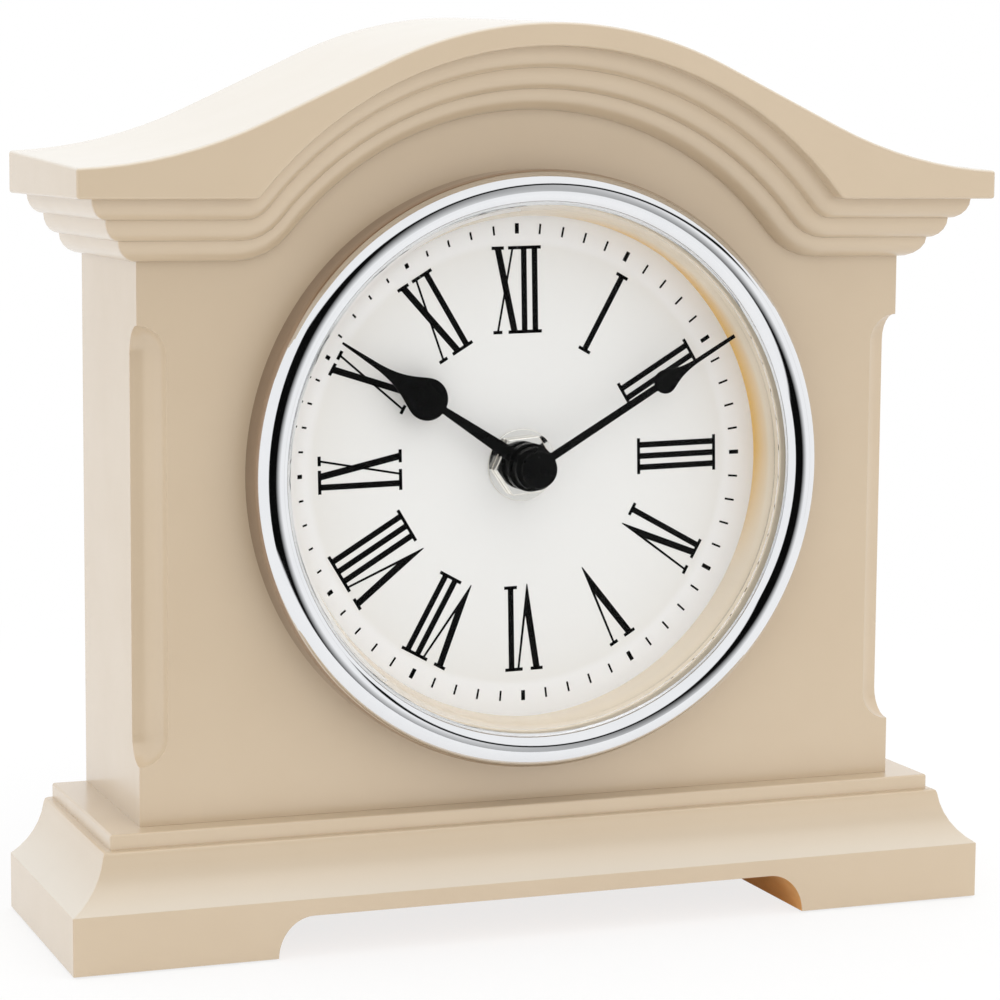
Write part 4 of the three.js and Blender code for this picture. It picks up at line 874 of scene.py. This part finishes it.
# %% Battery cell
NUB, NUB_LENGTH, NUB_ROUND, NUB_STEPS, NUB_REACH = 2.6, 1.2, 0.3, 4, 3
SHRINK, SHRINK_STEPS = 0.7, 5
BANDS = (("#B5763E", 13.9, 14.1), ("#C9C6C0", 23.5, 23.6), ("#C9C6C0", -24.7, -24.8))
low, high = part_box("battery")
centre = (low + high) / 2
half, radius = high.x / MM, (high.z - low.z) / 2 / MM
ends = [v.co for v in frame["nodes"]["battery"].data.vertices if abs(v.co.x) > high.x - NEAR * MM]
nub_side = sum(p.x for p in ends if math.hypot(p.y - centre.y, p.z - centre.z) < NUB_REACH * MM)
way = 1 if nub_side > 0 else -1
shoulder = half - NUB_LENGTH
start = arc((-half + SHRINK, radius - SHRINK), (SHRINK, SHRINK), 180, 90, SHRINK_STEPS)
stop = arc((shoulder - SHRINK, radius - SHRINK), (SHRINK, SHRINK), 90, 0, SHRINK_STEPS)
nub = arc((half - NUB_ROUND, NUB - NUB_ROUND), (NUB_ROUND, NUB_ROUND), 90, 0, NUB_STEPS)
can = [(-half, 0), *start, *stop, (shoulder, NUB), *nub, (half, 0)]
points = [(way * x * MM, centre.y, centre.z + r * MM) for x, r in can]
bm = lathe(points, False, (0, centre.y, centre.z), (1, 0, 0), SMALL_RING)
for code, band_start, band_full in BANDS:
    lay_over(cell_jacket, [("X", way * band_start * MM, way * band_full * MM)], code)
put("jacketed_cell", bm, "battery")

# %% [markdown]
# Four rubber pads keep the base off the table. They are flat mouldings with a small round at their rims.

# %% Foot pads
PAD_EASE = 0.25
for k in range(1, 5):
    put(f"rubber_pad_{k}", eased(f"foot_pad_{k}", PAD_EASE, steps=2), f"foot_pad_{k}")

# %% [markdown]
# The clock stands on a plain white table. Near the clock the table keeps a share of its own shading, so
# the shadow stays; further off it fades into the white backdrop. Seen directly, in a mirror or through
# glass, white is strength 1, so the backdrop adds no light of its own to the clock.

# %% Table top
TABLE_EDGE, TABLE = -0.2, 4.0
FADE_START, FADE_END, NEAR_SHARE = 0.16, 0.4, 0.78
WHITE = (1, 1, 1, 1)
bm = bmesh.new()
bmesh.ops.create_grid(bm, x_segments=1, y_segments=1, size=TABLE)
bmesh.ops.translate(bm, verts=bm.verts, vec=(0, TABLE + TABLE_EDGE, 0))
mesh = bpy.data.meshes.new("table_top")
bm.to_mesh(mesh)
bm.free()
table = bpy.data.objects.new("table_top", mesh)
bpy.context.scene.collection.objects.link(table)
paint = {"Base Color": linear("#F4F4F4"), "Roughness": 0.9}
white_table, tree, place, shader = start_finish("white_table_top", paint)


def plain_sight(tree):
    rays = add(tree, "ShaderNodeLightPath").outputs
    seen = rays["Is Camera Ray"]
    for ray in ("Is Glossy Ray", "Is Transmission Ray"):
        seen = add(tree, "ShaderNodeMath", {0: seen, 1: rays[ray]}, operation="MAXIMUM").outputs[0]
    return seen


away = add(tree, "ShaderNodeVectorMath", {0: place}, operation="LENGTH")
backdrop = {"Value": away.outputs[1], 1: FADE_START, 2: FADE_END, 3: NEAR_SHARE}
fade = add(tree, "ShaderNodeMapRange", backdrop)
share = add(tree, "ShaderNodeMath", {0: plain_sight(tree), 1: fade.outputs[0]}, operation="MULTIPLY")
glow = add(tree, "ShaderNodeEmission", {"Color": WHITE, "Strength": 1.0})
mixed = add(tree, "ShaderNodeMixShader", {0: share.outputs[0], 1: shader.outputs[0], 2: glow.outputs[0]})
tree.links.new(mixed.outputs[0], tree.nodes["Material Output"].inputs["Surface"])
mesh.materials.append(white_table)
print("table top ends", -TABLE_EDGE, "m in front of the clock's middle")

# %% [markdown]
# The studio is white all round, but for its open front end: a dark opening that begins left of the
# dial's axis and is drawn over by a white curtain to the right, denser with distance. Only mirrors
# show it: it is what draws the black and grey bands on the chrome. Angles are counted in degrees from
# the dial's axis, to the right and upwards.

# %% Studio
AMBIENT = (0.84, 0.84, 0.84, 1)
DARK = (0.003, 0.003, 0.003, 1)
OPENING = (-38, 63, -20, 26)
CURTAIN, CURTAIN_START, CURTAIN_DENSE = (0, 63, -60, 17), math.radians(6), math.radians(36)
world = bpy.data.worlds.new("white_studio")
bpy.context.scene.world = world
world.use_nodes = True
tree = world.node_tree
tree.nodes.clear()
heading = add(tree, "ShaderNodeSeparateXYZ", {0: add(tree, "ShaderNodeTexCoord").outputs["Generated"]})
ahead = add(tree, "ShaderNodeMath", {0: heading.outputs["Y"], 1: -1.0}, operation="MULTIPLY")
aside = {0: heading.outputs["X"], 1: ahead.outputs[0]}
bearing = add(tree, "ShaderNodeMath", aside, operation="ARCTAN2")
height = add(tree, "ShaderNodeMath", {0: heading.outputs["Z"]}, operation="ARCSINE")


def window(left, right, low, high, soft=1.5):
    inside = 1.0
    for angle, start, full in ((bearing, left - soft, left + soft), (bearing, right + soft, right - soft),
                               (height, low - soft, low + soft), (height, high + soft, high - soft)):
        marks = {"Value": angle.outputs[0], 1: math.radians(start), 2: math.radians(full)}
        edge = add(tree, "ShaderNodeMapRange", marks)
        both = add(tree, "ShaderNodeMath", {0: inside, 1: edge.outputs[0]}, operation="MULTIPLY")
        inside = both.outputs[0]
    return inside


folds = {"Value": bearing.outputs[0], 1: CURTAIN_START, 2: CURTAIN_DENSE}
curtain = add(tree, "ShaderNodeMapRange", folds)
drawn = add(tree, "ShaderNodeMath", {0: curtain.outputs[0], 1: window(*CURTAIN)}, operation="MULTIPLY")
opening = add(tree, "ShaderNodeMix", {0: drawn.outputs[0], 6: DARK, 7: WHITE}, data_type="RGBA")
front_end = {0: window(*OPENING), 6: WHITE, 7: opening.outputs[2]}
mirror = add(tree, "ShaderNodeMix", front_end, data_type="RGBA")
rays = add(tree, "ShaderNodeLightPath").outputs
glossy, bent = rays["Is Glossy Ray"], rays["Is Transmission Ray"]
turned = add(tree, "ShaderNodeMath", {0: glossy, 1: bent}, operation="MAXIMUM").outputs[0]
lit = add(tree, "ShaderNodeMix", {0: turned, 6: AMBIENT, 7: mirror.outputs[2]}, data_type="RGBA")
in_view = {0: rays["Is Camera Ray"], 6: lit.outputs[2], 7: WHITE}
sky = add(tree, "ShaderNodeMix", in_view, data_type="RGBA")
ground = add(tree, "ShaderNodeBackground", {"Color": sky.outputs[2], "Strength": 1.0})
add(tree, "ShaderNodeOutputWorld", {"Surface": ground.outputs[0]})
print("dark opening from", OPENING[0], "to", OPENING[1], "degrees, curtain from", CURTAIN[0])

# %% [markdown]
# Four soft boxes light the clock: one to the left, which brightens the side, one overhead for the roof
# and the table, a large one high at the front right, and a weak one low in front that fills the grooves
# of the cornice. Mirrors show the studio, not the boxes.

# %% Lamps
AIM = Vector((0, 0, 0.09))
LAMPS = {
    "soft_box_left": ((-1.1, 0.1, 0.45), 0.9, 1.3),
    "soft_box_overhead": ((0.1, 0.1, 1.3), 1.2, 5.2),
    "soft_box_front": ((0.35, -0.8, 1.0), 1.5, 3.8),
    "soft_box_low": ((0.15, -1.0, 0.12), 1.2, 1.2),
}
for name, (spot, size, power) in LAMPS.items():
    lamp = bpy.data.lights.new(name, "AREA")
    lamp.size, lamp.energy = size, power
    holder = bpy.data.objects.new(name, lamp)
    holder.location = spot
    holder.rotation_euler = (AIM - Vector(spot)).to_track_quat("-Z", "Y").to_euler()
    holder.visible_glossy = False
    bpy.context.scene.collection.objects.link(holder)
print("lamps:", list(LAMPS))

# %% [markdown]
# The camera stands a little to the left of the dial and above it, with a long lens, as the picture was
# taken. Its three axes are worked out from azimuth, elevation and a small roll, all in degrees.

# %% Camera
AZIMUTH, ELEVATION, ROLL = -20.74, 6.77, 0.41
STAND, LENS, SENSOR, SHIFT_X, SHIFT_Y = (-0.2254, -0.5924, 0.1618), 110.46, 36, 0.0006, -0.0022
azimuth, elevation, roll = (math.radians(d) for d in (AZIMUTH, ELEVATION, ROLL))
outwards = Vector((math.sin(azimuth), -math.cos(azimuth), 0))
back = math.cos(elevation) * outwards + Vector((0, 0, math.sin(elevation)))
right = Vector((math.cos(azimuth), math.sin(azimuth), 0))
up = back.cross(right)
across = math.cos(roll) * right + math.sin(roll) * up
upright = math.cos(roll) * up - math.sin(roll) * right
camera = bpy.data.objects.new("camera", bpy.data.cameras.new("camera"))
facing = Matrix((across, upright, back)).transposed().to_4x4()
camera.matrix_world = Matrix.Translation(STAND) @ facing
camera.data.lens, camera.data.sensor_width = LENS, SENSOR
camera.data.shift_x, camera.data.shift_y = SHIFT_X, SHIFT_Y
bpy.context.scene.collection.objects.link(camera)
bpy.context.scene.camera = camera
bpy.context.scene.view_settings.view_transform = "Standard"
print("camera at", [round(c, 3) for c in camera.location])
